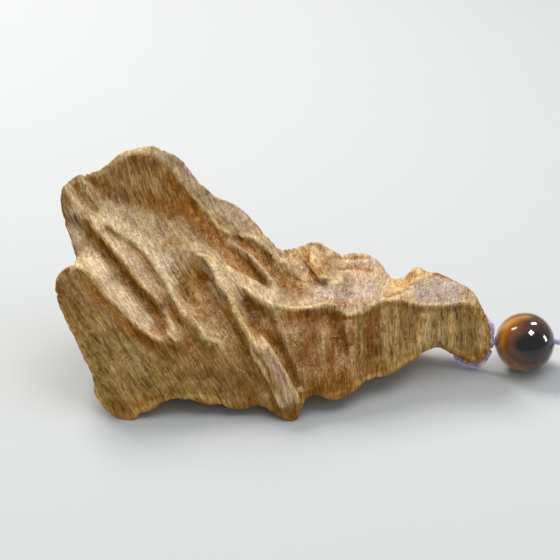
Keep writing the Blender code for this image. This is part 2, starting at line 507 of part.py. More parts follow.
def make_wood(parts, cutters):
    """The seen and the hidden sheet, sewn together along the outline and rounded off."""
    bm = bmesh.new()
    crease_of = bm.edges.layers.float.new("crease_edge")
    rim_points = None
    for points, faces, creases, rim in (seen_sheet(), hidden_sheet()):
        corners = [None] * len(points)
        if rim_points:
            for index, vert in zip(rim, rim_points):
                corners[index] = vert
        for i, place in enumerate(points):
            corners[i] = corners[i] or bm.verts.new(placed(*place))
        for face in faces:
            bm.faces.new([corners[i] for i in face])
        for a, b, crease in creases:
            edge = bm.edges.get((corners[a], corners[b]))
            if edge:
                edge[crease_of] = crease
        rim_points = rim_points or [corners[i] for i in rim]
    wood = object_of("agarwood", bm, parts, material("agarwood", (0.36, 0.2, 0.09), 0.6))
    rounding = wood.modifiers.new("rounding", "SUBSURF")
    rounding.levels = rounding.render_levels = 1
    thinning = wood.modifiers.new("thinning", "DECIMATE")
    thinning.ratio = WOOD_TRIANGLES_KEPT
    cut(wood, ground_cutter(cutters))
    cut(wood, hole_cutter(cutters))
    return wood


def ground_cutter(cutters):
    """A block whose top is the ground, which cuts the feet flat."""
    bm = bmesh.new()
    bmesh.ops.create_cube(bm, size=1)
    bmesh.ops.scale(bm, vec=(0.12, 0.08, 0.02), verts=bm.verts)
    bmesh.ops.translate(bm, vec=(0, 0, -0.01), verts=bm.verts)
    return object_of("ground_cutter", bm, cutters)


def rod(start, end, diameter, sides):
    """A closed cylinder between two points in millimetres."""
    start, end = placed(*start), placed(*end)
    bm = bmesh.new()
    bmesh.ops.create_cone(bm, cap_ends=True, segments=sides, radius1=diameter / 2 * MM,
                          radius2=diameter / 2 * MM, depth=(end - start).length)
    turn = (end - start).to_track_quat("Z", "Y").to_matrix()
    bmesh.ops.rotate(bm, matrix=turn, verts=bm.verts)
    bmesh.ops.translate(bm, vec=(start + end) / 2, verts=bm.verts)
    return bm


def hole_cutter(cutters):
    return object_of("hole_cutter", rod(HOLE_BACK, HOLE_UNDER, HOLE_DIAMETER, 16), cutters)


def ball(centre, radii, segments, rings):
    bm = bmesh.new()
    bmesh.ops.create_uvsphere(bm, u_segments=segments, v_segments=rings, radius=1)
    bmesh.ops.scale(bm, vec=[r * MM for r in radii], verts=bm.verts)
    bmesh.ops.translate(bm, vec=placed(*centre), verts=bm.verts)
    return bm


def make_bead(parts, cutters):
    radius = BEAD_DIAMETER / 2
    x, y, z = BEAD_CENTRE
    shape = ball(BEAD_CENTRE, (radius, radius, radius), 24, 14)
    bead = object_of("bead", shape, parts, material("tiger eye", (0.1, 0.04, 0.015), 0.08))
    bore = rod((x - 2 * radius, y, z), (x + 2 * radius, y, z), BORE_DIAMETER, 12)
    cut(bead, object_of("bore_cutter", bore, cutters))


def make_loop(parts, cutters, lilac):
    """The loop round the wood's tip, and its knot with the stretch of cord that fills the bead's bore."""
    tube("cord_loop", smooth_curve(LOOP_ROUTE, CORD_STEP), CORD_DIAMETER, parts, lilac)
    knot = object_of("loop_knot", ball(KNOT_CENTRE, KNOT_RADII, 12, 8), parts, lilac)
    stem_end = (BEAD_CENTRE[0] + BEAD_DIAMETER / 2, BEAD_CENTRE[1], BEAD_CENTRE[2])
    stem = object_of("knot_stem", rod(KNOT_CENTRE, stem_end, CORD_DIAMETER, 8), cutters)
    joined = knot.modifiers.new("joined to the stem", "BOOLEAN")
    joined.operation = "UNION"
    joined.object = stem


def coil_profile():
    """Half of the coil's section at +X, down its outer side, with its four edges cut off."""
    inner = COIL_INNER - CORD_DIAMETER / 2
    outer = COIL_OUTER + CORD_DIAMETER / 2
    top = COIL_LAYERS * CORD_DIAMETER
    return [
        (inner + COIL_EDGE, top), (outer - COIL_EDGE, top), (outer, top - COIL_EDGE), (outer, COIL_EDGE),
        (outer - COIL_EDGE, 0.0), (inner + COIL_EDGE, 0.0), (inner, COIL_EDGE), (inner, top - COIL_EDGE),
    ]


def make_free_cord(parts, lilac):
    """The cord from the bead to the coil, the coil as one turned ring, and the knot that ends the cord."""
    tube("cord_tail", smooth_curve(TAIL_ROUTE, CORD_STEP), CORD_DIAMETER, parts, lilac)
    bm = bmesh.new()
    corners = [bm.verts.new((r * MM, 0, z * MM)) for r, z in coil_profile()]
    edges = [bm.edges.new((a, b)) for a, b in zip(corners, corners[1:] + corners[:1])]
    bmesh.ops.spin(bm, geom=corners + edges, cent=(0, 0, 0), axis=(0, 0, 1), angle=math.tau, steps=32,
                   use_merge=True)
    bmesh.ops.remove_doubles(bm, verts=bm.verts, dist=1e-6)
    bmesh.ops.translate(bm, vec=placed(*COIL_CENTRE, 0.0), verts=bm.verts)
    object_of("cord_coil", bm, parts, lilac)
    size = (END_KNOT_RADIUS, END_KNOT_RADIUS, END_KNOT_RADIUS)
    object_of("end_knot", ball(END_KNOT_CENTRE, size, 12, 8), parts, lilac)


def main():
    for obj in list(bpy.data.objects):
        bpy.data.objects.remove(obj)
    parts = new_collection("agarwood piece")
    cutters = new_collection("cutters", hidden=True)
    lilac = material("lilac cord", (0.4, 0.3, 0.55), 0.7)
    make_wood(parts, cutters)
    make_bead(parts, cutters)
    make_loop(parts, cutters, lilac)
    make_free_cord(parts, lilac)


main()
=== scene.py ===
"""Looks of the agarwood hand piece: worn, fibrous wood, a tiger's eye bead and a braided lilac cord."""

import math

import bmesh
import bpy
import numpy as np
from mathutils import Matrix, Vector


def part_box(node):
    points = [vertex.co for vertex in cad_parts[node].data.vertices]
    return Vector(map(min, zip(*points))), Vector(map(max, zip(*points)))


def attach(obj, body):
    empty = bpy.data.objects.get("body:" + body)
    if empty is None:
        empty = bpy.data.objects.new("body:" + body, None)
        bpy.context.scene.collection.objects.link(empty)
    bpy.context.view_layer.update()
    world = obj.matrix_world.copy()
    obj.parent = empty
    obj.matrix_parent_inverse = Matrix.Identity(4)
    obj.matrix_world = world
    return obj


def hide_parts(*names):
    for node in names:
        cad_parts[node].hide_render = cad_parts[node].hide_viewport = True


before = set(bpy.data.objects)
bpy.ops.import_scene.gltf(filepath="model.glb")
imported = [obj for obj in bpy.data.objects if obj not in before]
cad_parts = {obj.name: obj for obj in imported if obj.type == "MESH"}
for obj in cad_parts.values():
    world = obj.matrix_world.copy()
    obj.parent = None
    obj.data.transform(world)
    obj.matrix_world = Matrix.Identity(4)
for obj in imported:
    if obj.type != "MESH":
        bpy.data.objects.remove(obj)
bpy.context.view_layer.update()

MM = 0.001

# The wood is laid out as the camera sees it, from 30 degrees above the floor. A layout point is (across, up),
# in millimetres, on the plane through the view's middle, which is VIEW_MIDDLE in the part's frame.
VIEW_RISE = math.radians(30)
VIEW_DISTANCE = 283.0
VIEW_MIDDLE = (-5.24, 0.06, 18.4)
LENS = 109.3
TO_VIEW = np.array([0, -math.cos(VIEW_RISE), math.sin(VIEW_RISE)])
FLOOR_SIZE = 4
FLOOR_COLOUR = (188, 191, 192)
SKY_COLOUR = (236, 238, 240)
SKY_STRENGTH = 0.51
AIM = (0, 0, 0.012)

# The free cord and its coil, in the layout's own X and Y, with the same route as its solids
CORD_DIAMETER = 1.0
TAIL_ROUTE = [
    (47.3, 1.8, 5.1), (48.6, 1.8, 5.05), (50.4, 1.8, 4.3), (52.3, 1.8, 2.8), (54.2, 1.8, 1.3),
    (56.2, 1.8, 0.6), (57.8, 1.8, 0.52), (59.6, 1.8, 0.52), (61.5, 1.8, 0.52),
]
COIL_CENTRE = (61.5, 9.05)
COIL_INNER = 4.25
COIL_OUTER = 7.25
TURNS_PER_LAYER = 3
TURNS_UP = 1.25
STEPS_PER_TURN = 48
COIL_END = [(69.15, 10.9, 1.42), (69.8, 12.0, 1.25)]
LOOP_ROUTE = [
    (36.1, 1.7, 6.6), (36.15, 2.4, 7.8), (35.3, 4.0, 8.4), (33.9, 6.2, 8.6), (32.3, 7.9, 9.0),
    (31.0, 8.3, 9.4), (30.4, 7.1, 8.5), (30.2, 5.4, 6.2), (30.1, 3.7, 3.8), (30.3, 2.6, 2.2),
    (31.0, 1.9, 1.2), (32.0, 1.4, 0.75), (33.3, 1.1, 0.65), (34.5, 1.1, 1.15), (35.4, 1.3, 2.2),
    (35.95, 1.6, 3.6),
]
BRAID_STEP = 0.16
BRAID_SIDES = 12
BRAID_PITCH = 1.5
BRAID_DEPTH = 0.13

# The knots, each filling a box of these half sizes with a thinner strand, and the cord's end in the bead
KNOT_STRAND = 0.85
KNOT_STEPS = 72
TIP_KNOT_CENTRE = (36.0, 1.8, 5.1)
TIP_KNOT_HALVES = (0.75, 1.25, 1.45)
END_KNOT_CENTRE = (70.2, 12.6, 1.2)
END_KNOT_HALVES = (1.1, 1.15, 1.15)
STEM_END = (47.2, 1.8, 5.1)

# The bead's bore, its eased mouths and its reach from them, and the eye's directions: across, up and out
BORE_RADIUS = 0.85
BORE_EASE = 0.25
BORE_REACH = 2.0
BEAD_ARCS = 64
BEAD_STEPS = 96
EYE_AXES = [Vector((1, 0, 0)), Vector((0, 0.5, 0.866)), Vector((0, -0.866, 0.5))]


def linear(red, green, blue, alpha=1.0):
    """An sRGB colour of 0 to 255 as the shader's linear one."""
    parts = [c / 255 for c in (red, green, blue)]
    return (*(c / 12.92 if c <= 0.04045 else ((c + 0.055) / 1.055) ** 2.4 for c in parts), alpha)


def placed(x, y, z):
    """A layout point in millimetres as a place in the part's frame, in metres."""
    return Vector((x + VIEW_MIDDLE[0], y + VIEW_MIDDLE[1], z)) * MM


def make_camera():
    camera = bpy.data.objects.new("camera", bpy.data.cameras.new("camera"))
    bpy.context.scene.collection.objects.link(camera)
    back = Vector((0, -math.cos(VIEW_RISE), math.sin(VIEW_RISE)))
    camera.location = (Vector(VIEW_MIDDLE) + back * VIEW_DISTANCE) * MM
    camera.rotation_euler = back.to_track_quat("Z", "Y").to_euler()
    camera.data.lens = LENS
    camera.data.clip_start = 0.01
    camera.data.clip_end = 20
    bpy.context.scene.camera = camera


def smooth_curve(points, step):
    """Points about one step apart on a smooth curve through the given ones."""
    knots = [Vector(p) for p in points]
    ends = [2 * knots[0] - knots[1]] + knots + [2 * knots[-1] - knots[-2]]
    curve = [knots[0]]
    for before, start, end, after in zip(ends, ends[1:], ends[2:], ends[3:]):
        count = max(1, round((end - start).length / step))
        for i in range(1, count + 1):
            t = i / count
            curve.append(0.5 * (2 * start + (end - before) * t
                                + (2 * before - 5 * start + 4 * end - after) * t * t
                                + (3 * start - before - 3 * end + after) * t ** 3))
    return curve


def coil_turns():
    """The coil's centreline: inwards on the ground, up, and outwards on the turns below."""
    total = 2 * TURNS_PER_LAYER + TURNS_UP
    points = []
    for i in range(1, round(total * STEPS_PER_TURN) + 1):
        turn = i / STEPS_PER_TURN
        inward = min(turn, TURNS_PER_LAYER)
        rising = min(max(turn - TURNS_PER_LAYER, 0) / TURNS_UP, 1)
        outward = max(turn - TURNS_PER_LAYER - TURNS_UP, 0)
        radius = COIL_OUTER - (inward - outward) * (COIL_OUTER - COIL_INNER) / TURNS_PER_LAYER
        angle = math.tau * (turn - 0.25)
        points.append((COIL_CENTRE[0] + radius * math.cos(angle), COIL_CENTRE[1] + radius * math.sin(angle),
                       (0.52 + rising * 0.96) * CORD_DIAMETER))
    return points


def resampled(points, step):
    """Evenly spaced points along a line, as an array."""
    line = np.array([tuple(p) for p in points])
    along = np.concatenate([[0], np.cumsum(np.linalg.norm(np.diff(line, axis=0), axis=1))])
    at = np.linspace(0, along[-1], max(2, round(along[-1] / step) + 1))
    return np.stack([np.interp(at, along, line[:, k]) for k in range(3)], axis=1)


def new_object(name, mesh):
    obj = bpy.data.objects.new(name, mesh)
    bpy.context.scene.collection.objects.link(obj)
    mesh.shade_smooth()
    return obj


def braided_cord(name, route, diameter=CORD_DIAMETER):
    """A cord of woven strands along a route in layout millimetres.

    Returns the piece and its centreline in metres."""
    line = resampled(route, BRAID_STEP)
    ahead = np.gradient(line, axis=0)
    ahead /= np.linalg.norm(ahead, axis=1)[:, None]
    side = np.cross(ahead[0], (0.3, 0.2, 1.0))
    verts = []
    for i, (point, forward) in enumerate(zip(line, ahead)):
        side = side - forward * side.dot(forward)
        side /= np.linalg.norm(side)
        other = np.cross(forward, side)
        for j in range(BRAID_SIDES):
            angle = math.tau * j / BRAID_SIDES
            phase = math.tau * i * BRAID_STEP / BRAID_PITCH
            weave = max(math.cos(2 * angle + phase), math.cos(2 * angle - phase))
            radius = diameter / 2 * (1 - BRAID_DEPTH * (1 - weave))
            verts.append(point + radius * (math.cos(angle) * side + math.sin(angle) * other))
    rings = len(line)
    faces = [(i * BRAID_SIDES + j, i * BRAID_SIDES + (j + 1) % BRAID_SIDES,
              (i + 1) * BRAID_SIDES + (j + 1) % BRAID_SIDES, (i + 1) * BRAID_SIDES + j)
             for i in range(rings - 1) for j in range(BRAID_SIDES)]
    faces.append(tuple(reversed(range(BRAID_SIDES))))
    faces.append(tuple((rings - 1) * BRAID_SIDES + j for j in range(BRAID_SIDES)))
    mesh = bpy.data.meshes.new(name)
    mesh.from_pydata([tuple(placed(*v)) for v in verts], [], faces)
    mesh.validate()
    return new_object(name, mesh), [tuple(placed(*p)) for p in line]


def knot_route(centre, half_size, strand):
    """A closed overhand knot that fills a box of these half sizes with a strand of this diameter."""
    points = []
    for i in range(KNOT_STEPS + 1):
        t = math.tau * i / KNOT_STEPS
        flat = -math.sin(3 * t)
        wide = (math.sin(t) + 2 * math.sin(2 * t)) / 3
        tall = (math.cos(t) - 2 * math.cos(2 * t)) / 3
        points.append([c + s * (h - strand / 2) for c, s, h in zip(centre, (flat, wide, tall), half_size)])
    return points


def stage_and_light():
    scene = bpy.context.scene
    scene.view_settings.view_transform = "Standard"
    bpy.ops.mesh.primitive_plane_add(size=FLOOR_SIZE)
    floor = bpy.context.active_object
    floor.name = "floor"
    surface = bpy.data.materials.new("pale floor")
    surface.use_nodes = True
    shader = surface.node_tree.nodes["Principled BSDF"]
    shader.inputs["Base Color"].default_value = linear(*FLOOR_COLOUR)
    shader.inputs["Roughness"].default_value = 0.9
    floor.data.materials.append(surface)
    world = bpy.data.worlds.new("studio")
    world.use_nodes = True
    sky = world.node_tree.nodes["Background"]
    sky.inputs["Color"].default_value = linear(*SKY_COLOUR)
    sky.inputs["Strength"].default_value = SKY_STRENGTH
    scene.world = world
    # Each lamp's name, place, width, height, power and colour. The windows show only as reflections.
    lights = [
        ("back softbox", (-0.2, 0.25, 0.38), 0.2, 0.2, 2.5, (255, 252, 246)),
        ("front fill", (0.28, -0.42, 0.26), 0.3, 0.3, 0.28, (255, 248, 236)),
        ("top fill", (0.08, -0.01, 0.34), 0.24, 0.24, 0.46, (250, 252, 255)),
        ("left window", (-0.209, 0.067, 0.314), 0.05, 0.12, 0.3, (250, 252, 255)),
        ("top window", (0.207, 0.152, 0.334), 0.05, 0.12, 0.9, (250, 252, 255)),
        ("front window", (0.157, -0.136, 0.361), 0.11, 0.1, 1.6, (250, 252, 255)),
        ("right window", (0.423, -0.022, 0.104), 0.05, 0.12, 0.7, (250, 252, 255)),
    ]
    for name, place, width, height, power, colour in lights:
        lamp = bpy.data.lights.new(name, "AREA")
        lamp.shape = "RECTANGLE"
        lamp.size = width
        lamp.size_y = height
        lamp.energy = power
        lamp.color = linear(*colour)[:3]
        obj = bpy.data.objects.new(name, lamp)
        scene.collection.objects.link(obj)
        obj.location = place
        obj.rotation_euler = (Vector(AIM) - Vector(place)).to_track_quat("-Z", "Y").to_euler()
        obj.visible_glossy = "window" in name
        obj.visible_diffuse = "window" not in name


class Nodes:
    """A material's node tree, with short calls that add nodes and link them."""

    def __init__(self, name, roughness):
        self.material = bpy.data.materials.new(name)
        self.material.use_nodes = True
        self.tree = self.material.node_tree
        self.shader = self.tree.nodes["Principled BSDF"]
        self.shader.inputs["Roughness"].default_value = roughness

    def add(self, kind, **settings):
        node = self.tree.nodes.new(kind)
        for name, value in settings.items():
            setattr(node, name, value)
        return node

    def put(self, socket, value):
        if isinstance(value, bpy.types.NodeSocket):
            self.tree.links.new(value, socket)
        else:
            socket.default_value = value

    def attribute(self, name):
        return self.add("ShaderNodeAttribute", attribute_name=name)

    def math(self, operation, a, b=0.0):
        node = self.add("ShaderNodeMath", operation=operation)
        self.put(node.inputs[0], a)
        self.put(node.inputs[1], b)
        return node.outputs[0]

    def scaled(self, vector, scale):
        node = self.add("ShaderNodeVectorMath", operation="MULTIPLY")
        self.put(node.inputs[0], vector)
        self.put(node.inputs[1], scale)
        return node.outputs[0]

    def noise(self, vector, scale, detail=2.0, roughness=0.5, distortion=0.0):
        node = self.add("ShaderNodeTexNoise")
        self.put(node.inputs["Vector"], vector)
        self.put(node.inputs["Scale"], scale)
        self.put(node.inputs["Detail"], detail)
        self.put(node.inputs["Roughness"], roughness)
        self.put(node.inputs["Distortion"], distortion)
        return node.outputs["Fac"]

    def step(self, value, low, high, to_low=0.0, to_high=1.0):
        """Spreads low..high smoothly over to_low..to_high."""
        node = self.add("ShaderNodeMapRange", interpolation_type="SMOOTHSTEP")
        for name, v in (("Value", value), ("From Min", low), ("From Max", high), ("To Min", to_low),
                        ("To Max", to_high)):
            self.put(node.inputs[name], v)
        return node.outputs["Result"]

    def mix(self, factor, a, b, blend="MIX"):
        node = self.add("ShaderNodeMix", data_type="RGBA", blend_type=blend)
        self.put(node.inputs["Factor"], factor)
        self.put(node.inputs["A"], a)
        self.put(node.inputs["B"], b)
        return node.outputs["Result"]

    def bump(self, height, strength, distance, normal=None):
        node = self.add("ShaderNodeBump")
        self.put(node.inputs["Height"], height)
        node.inputs["Strength"].default_value = strength
        node.inputs["Distance"].default_value = distance
        if normal:
            self.put(node.inputs["Normal"], normal)
        return node.outputs["Normal"]


def cord_material():
    n = Nodes("lilac cord", 0.75)
    place = n.add("ShaderNodeTexCoord").outputs["Object"]
    fibre = n.noise(place, 2600, 3)
    tint = n.noise(place, 700, 2)
    colour = n.mix(n.step(fibre, 0.35, 0.65), linear(150, 130, 184), linear(206, 188, 228))
    colour = n.mix(n.step(tint, 0.45, 0.7, 0.0, 0.6), colour, linear(232, 220, 242))
    n.put(n.shader.inputs["Base Color"], colour)
    n.shader.inputs["Sheen Weight"].default_value = 0.3
    n.put(n.shader.inputs["Normal"], n.bump(fibre, 0.6, 0.0001))
    return n.material


# Gradient noise and smoothing on the wood's own points
def hashed(cells, seed):
    """A repeatable number from 0 to 1 for each whole-number cell."""
    h = cells[..., 0] * 374761393 + cells[..., 1] * 668265263 + cells[..., 2] * 2147483647
    h = h + seed * 974634777
    h = (h ^ (h >> 13)) * 1274126177
    return ((h ^ (h >> 16)) & 0xFFFFFF) / 0xFFFFFF


def noise(points, seed=0):
    """Smooth value noise from -1 to 1, with one cell per unit."""
    cell = np.floor(points).astype(np.int64)
    t = points - cell
    t = t * t * t * (t * (t * 6 - 15) + 10)
    total = 0.0
    for dx in (0, 1):
        for dy in (0, 1):
            for dz in (0, 1):
                weight = (np.where(dx, t[:, 0], 1 - t[:, 0]) * np.where(dy, t[:, 1], 1 - t[:, 1])
                          * np.where(dz, t[:, 2], 1 - t[:, 2]))
                total = total + weight * hashed(cell + np.array([dx, dy, dz]), seed)
    return total * 2 - 1


def layered(points, octaves, seed=0, gain=0.5):
    total = sum(gain ** k * noise(points * 2.03 ** k + 11.7 * k, seed + k) for k in range(octaves))
    return total / sum(gain ** k for k in range(octaves))


def ramp(value, low, high):
    t = np.clip((value - low) / (high - low), 0, 1)
    return t * t * (3 - 2 * t)


class Surface:
    """The points of a mesh in layout millimetres, with their neighbours and outward directions."""

    def __init__(self, mesh):
        self.mesh = mesh
        count = len(mesh.vertices)
        flat = np.empty(count * 3)
        mesh.vertices.foreach_get("co", flat)
        self.points = flat.reshape(-1, 3) / MM
        self.points[:, :2] -= VIEW_MIDDLE[:2]
        edges = np.empty(len(mesh.edges) * 2, np.int32)
        mesh.edges.foreach_get("vertices", edges)
        self.edges = edges.reshape(-1, 2)
        self.degree = np.bincount(self.edges.ravel(), minlength=count)
        self.read_normals()

    def read_normals(self):
        self.write()
        flat = np.empty(len(self.points) * 3)
        self.mesh.vertices.foreach_get("normal", flat)
        self.normals = flat.reshape(-1, 3)

    def write(self):
        placed_points = self.points.copy()
        placed_points[:, :2] += VIEW_MIDDLE[:2]
        self.mesh.vertices.foreach_set("co", (placed_points * MM).ravel())
        self.mesh.update()

    def blurred(self, values, rounds):
        """Values averaged with their neighbours' this many times."""
        a, b = self.edges.T
        values = values.copy()
        columns = values.reshape(len(values), -1)
        for _ in range(rounds):
            for k in range(columns.shape[1]):
                c = columns[:, k]
                around = (np.bincount(a, c[b], len(c)) + np.bincount(b, c[a], len(c))) / self.degree
                columns[:, k] = 0.5 * c + 0.5 * around
        return columns.reshape(values.shape)

    def bulge(self, rounds):
        """How far each point stands out of its blurred surroundings, in millimetres: below 0 in a hollow."""
        return ((self.points - self.blurred(self.points, rounds)) * self.normals).sum(1)

    def as_seen(self):
        """Each point's layout place (across, up)."""
        rise, run = math.sin(VIEW_RISE), math.cos(VIEW_RISE)
        x, y, z = self.points.T
        back = run * y - rise * (z - VIEW_MIDDLE[2])
        spread = 1 + back / VIEW_DISTANCE
        return np.stack([x / spread, (rise * y + run * (z - VIEW_MIDDLE[2])) / spread], axis=1)

    def store(self, name, values):
        kind = "FLOAT" if values.ndim == 1 else "FLOAT_VECTOR"
        key = "value" if values.ndim == 1 else "vector"
        layer = self.mesh.attributes.new(name, kind, "POINT")
        layer.data.foreach_set(key, np.ascontiguousarray(values, np.float32).ravel())


def nearness(flat, line, width, power=2, taper=0.0):
    """From 1 on a line of layout points down to 0 beside it, and at the line's ends if it has a taper."""
    best = np.full(len(flat), np.inf)
    at = np.zeros(len(flat))
    corners = np.array(line, float)
    walked = 0.0
    for a, b in zip(corners, corners[1:]):
        along = b - a
        length = np.linalg.norm(along)
        t = np.clip(((flat - a) @ along) / length ** 2, 0, 1)
        gap = np.linalg.norm(flat - a - t[:, None] * along, axis=1)
        nearer = gap < best
        best[nearer] = gap[nearer]
        at[nearer] = walked + t[nearer] * length
        walked += length
    weight = np.exp(-(best / width) ** power)
    if taper:
        weight *= ramp(np.minimum(at, walked - at), -0.3 * taper, taper)
    return weight


# The wood's features in the layout: a half width and a height in millimetres, and a line of (across, up)
RIDGES = [
    # the lobe's upper edge
    (0.5, 0.34, [(-34.2, 2.4), (-33.2, 2.1), (-31.9, 1.1), (-30.9, 0.2), (-29.1, -2.3), (-27.0, -4.2),
                 (-24.7, -6.7), (-23.5, -7.9), (-22.0, -9.0), (-19.6, -10.4)]),
    # the second and the third fold
    (0.6, 0.30, [(-31.3, 9.5), (-28.7, 6.3), (-27.2, 4.5), (-25.8, 3.0), (-23.5, 0.0), (-21.3, -2.3),
                 (-19.9, -3.7), (-18.4, -6.6), (-17.5, -8.4)]),
    (0.6, 0.32, [(-33.9, 10.6), (-31.5, 10.4), (-30.0, 9.7), (-26.9, 7.9), (-24.3, 6.2), (-21.7, 3.7),
                 (-20.2, 1.5), (-19.1, 0.0), (-17.8, -2.9), (-15.8, -5.6), (-13.5, -7.9), (-12.2, -10.4)]),
    (0.45, 0.2, [(-18.9, -8.2), (-18.0, -9.3), (-17.0, -10.3)]),
    # the crest's left end and the rim of the back
    (0.5, 0.15, [(-35.6, 15.4), (-34.6, 13.9), (-33.7, 12.6), (-32.2, 11.3)]),
    (0.4, 0.15, [(-33.2, 16.6), (-31.8, 14.4), (-30.3, 12.2), (-29.0, 10.8)]),
    (0.7, 0.2, [(-17.9, 18.6), (-16.1, 16.3), (-14.6, 14.1), (-12.4, 11.9), (-10.2, 8.9), (-8.5, 8.0),
                (-6.9, 7.6), (-5.0, 7.2), (-3.7, 6.7), (-2.6, 5.6), (-0.4, 3.4), (1.3, 2.8)]),
    # between the two middle gullies, and below them
    (0.7, 0.16, [(-9.0, 6.7), (-6.7, 5.0), (-4.6, 3.4), (-3.3, 2.0), (-2.0, 0.3), (-0.2, -2.0)]),
    (0.8, 0.28, [(-13.9, 4.8), (-11.9, 3.7), (-10.6, 2.4), (-8.7, 1.9), (-7.0, 1.0), (-5.0, 0.0),
                 (-3.2, -0.9), (-0.5, -2.6)]),
    # the spike's ridges
    (0.6, 0.4, [(-13.9, 4.8), (-12.4, 3.9), (-11.3, 2.2), (-9.8, -1.3), (-8.4, -2.9), (-7.4, -5.4),
                (-5.2, -9.1), (-3.2, -12.3)]),
    (0.5, 0.3, [(-5.2, -10.2), (-3.9, -13.4), (-2.6, -15.5), (-1.3, -17.6), (0.4, -21.2)]),
    (0.5, 0.3, [(-3.2, -9.4), (-2.05, -10.9), (-0.6, -13.1), (0.9, -15.4), (2.0, -17.6), (3.0, -20.6)]),
    # the front's upper edge
    (0.4, 0.25, [(-6.3, -1.3), (-4.8, -2.2), (-3.7, -3.1), (-2.4, -3.9), (0.5, -4.5), (2.2, -4.9),
                 (5.5, -4.6), (8.1, -4.0), (9.6, -4.6), (11.5, -5.8), (14.0, -5.0), (15.7, -3.8),
                 (17.0, -3.3), (18.7, -3.3), (20.0, -2.9)]),
    # the end facet and the peaks of the back rim
    (0.4, 0.3, [(20.0, -2.9), (21.6, -4.0), (25.7, -4.4), (28.1, -4.2), (30.2, -3.8), (31.3, -4.3),
                (32.8, -5.8)]),
    (0.45, 0.25, [(18.3, -2.3), (20.0, -1.6), (22.8, -0.3), (24.6, 0.2), (25.7, 0.8)]),
    (0.4, 0.25, [(22.8, 1.7), (23.3, 0.8), (24.2, 0.3)]),
    (0.35, 0.35, [(2.6, 4.3), (3.9, 2.2), (5.2, 0.7), (7.4, -0.2), (9.3, -0.9)]),
    (0.35, 0.35, [(5.0, 4.9), (5.6, 3.0), (6.5, 1.3), (7.8, 0.3), (9.3, -0.6)]),
    (0.35, 0.15, [(8.2, 4.2), (10.4, 3.0), (12.9, 2.9), (15.4, 3.0)]),
    (0.35, 0.15, [(9.4, 1.0), (11.6, 1.2), (14.2, 1.1), (16.4, 0.8)]),
    # the ribs of the front
    (0.7, 0.3, [(11.4, -6.6), (11.1, -8.3), (11.8, -11.1), (12.1, -16.5)]),
    (0.7, 0.25, [(-0.8, -5.0), (0.0, -7.6), (1.1, -10.4), (2.9, -14.8), (4.5, -18.3)]),
    (0.6, 0.25, [(17.0, -4.6), (17.3, -8.0), (17.6, -12.0), (17.7, -14.9)]),
    (0.5, 0.25, [(19.5, -4.4), (19.6, -6.1), (19.4, -9.9), (19.3, -13.9)]),
    (0.6, 0.25, [(23.9, -5.4), (23.9, -6.9), (23.4, -9.0), (22.8, -11.6)]),
    (0.6, 0.25, [(28.0, -5.2), (28.0, -8.5), (27.9, -11.0)]),
    (0.5, 0.25, [(33.2, -7.6), (33.5, -11.3)]),
    (0.8, 0.12, [(7.4, -8.2), (7.2, -10.9), (7.4, -16.0)]),
]
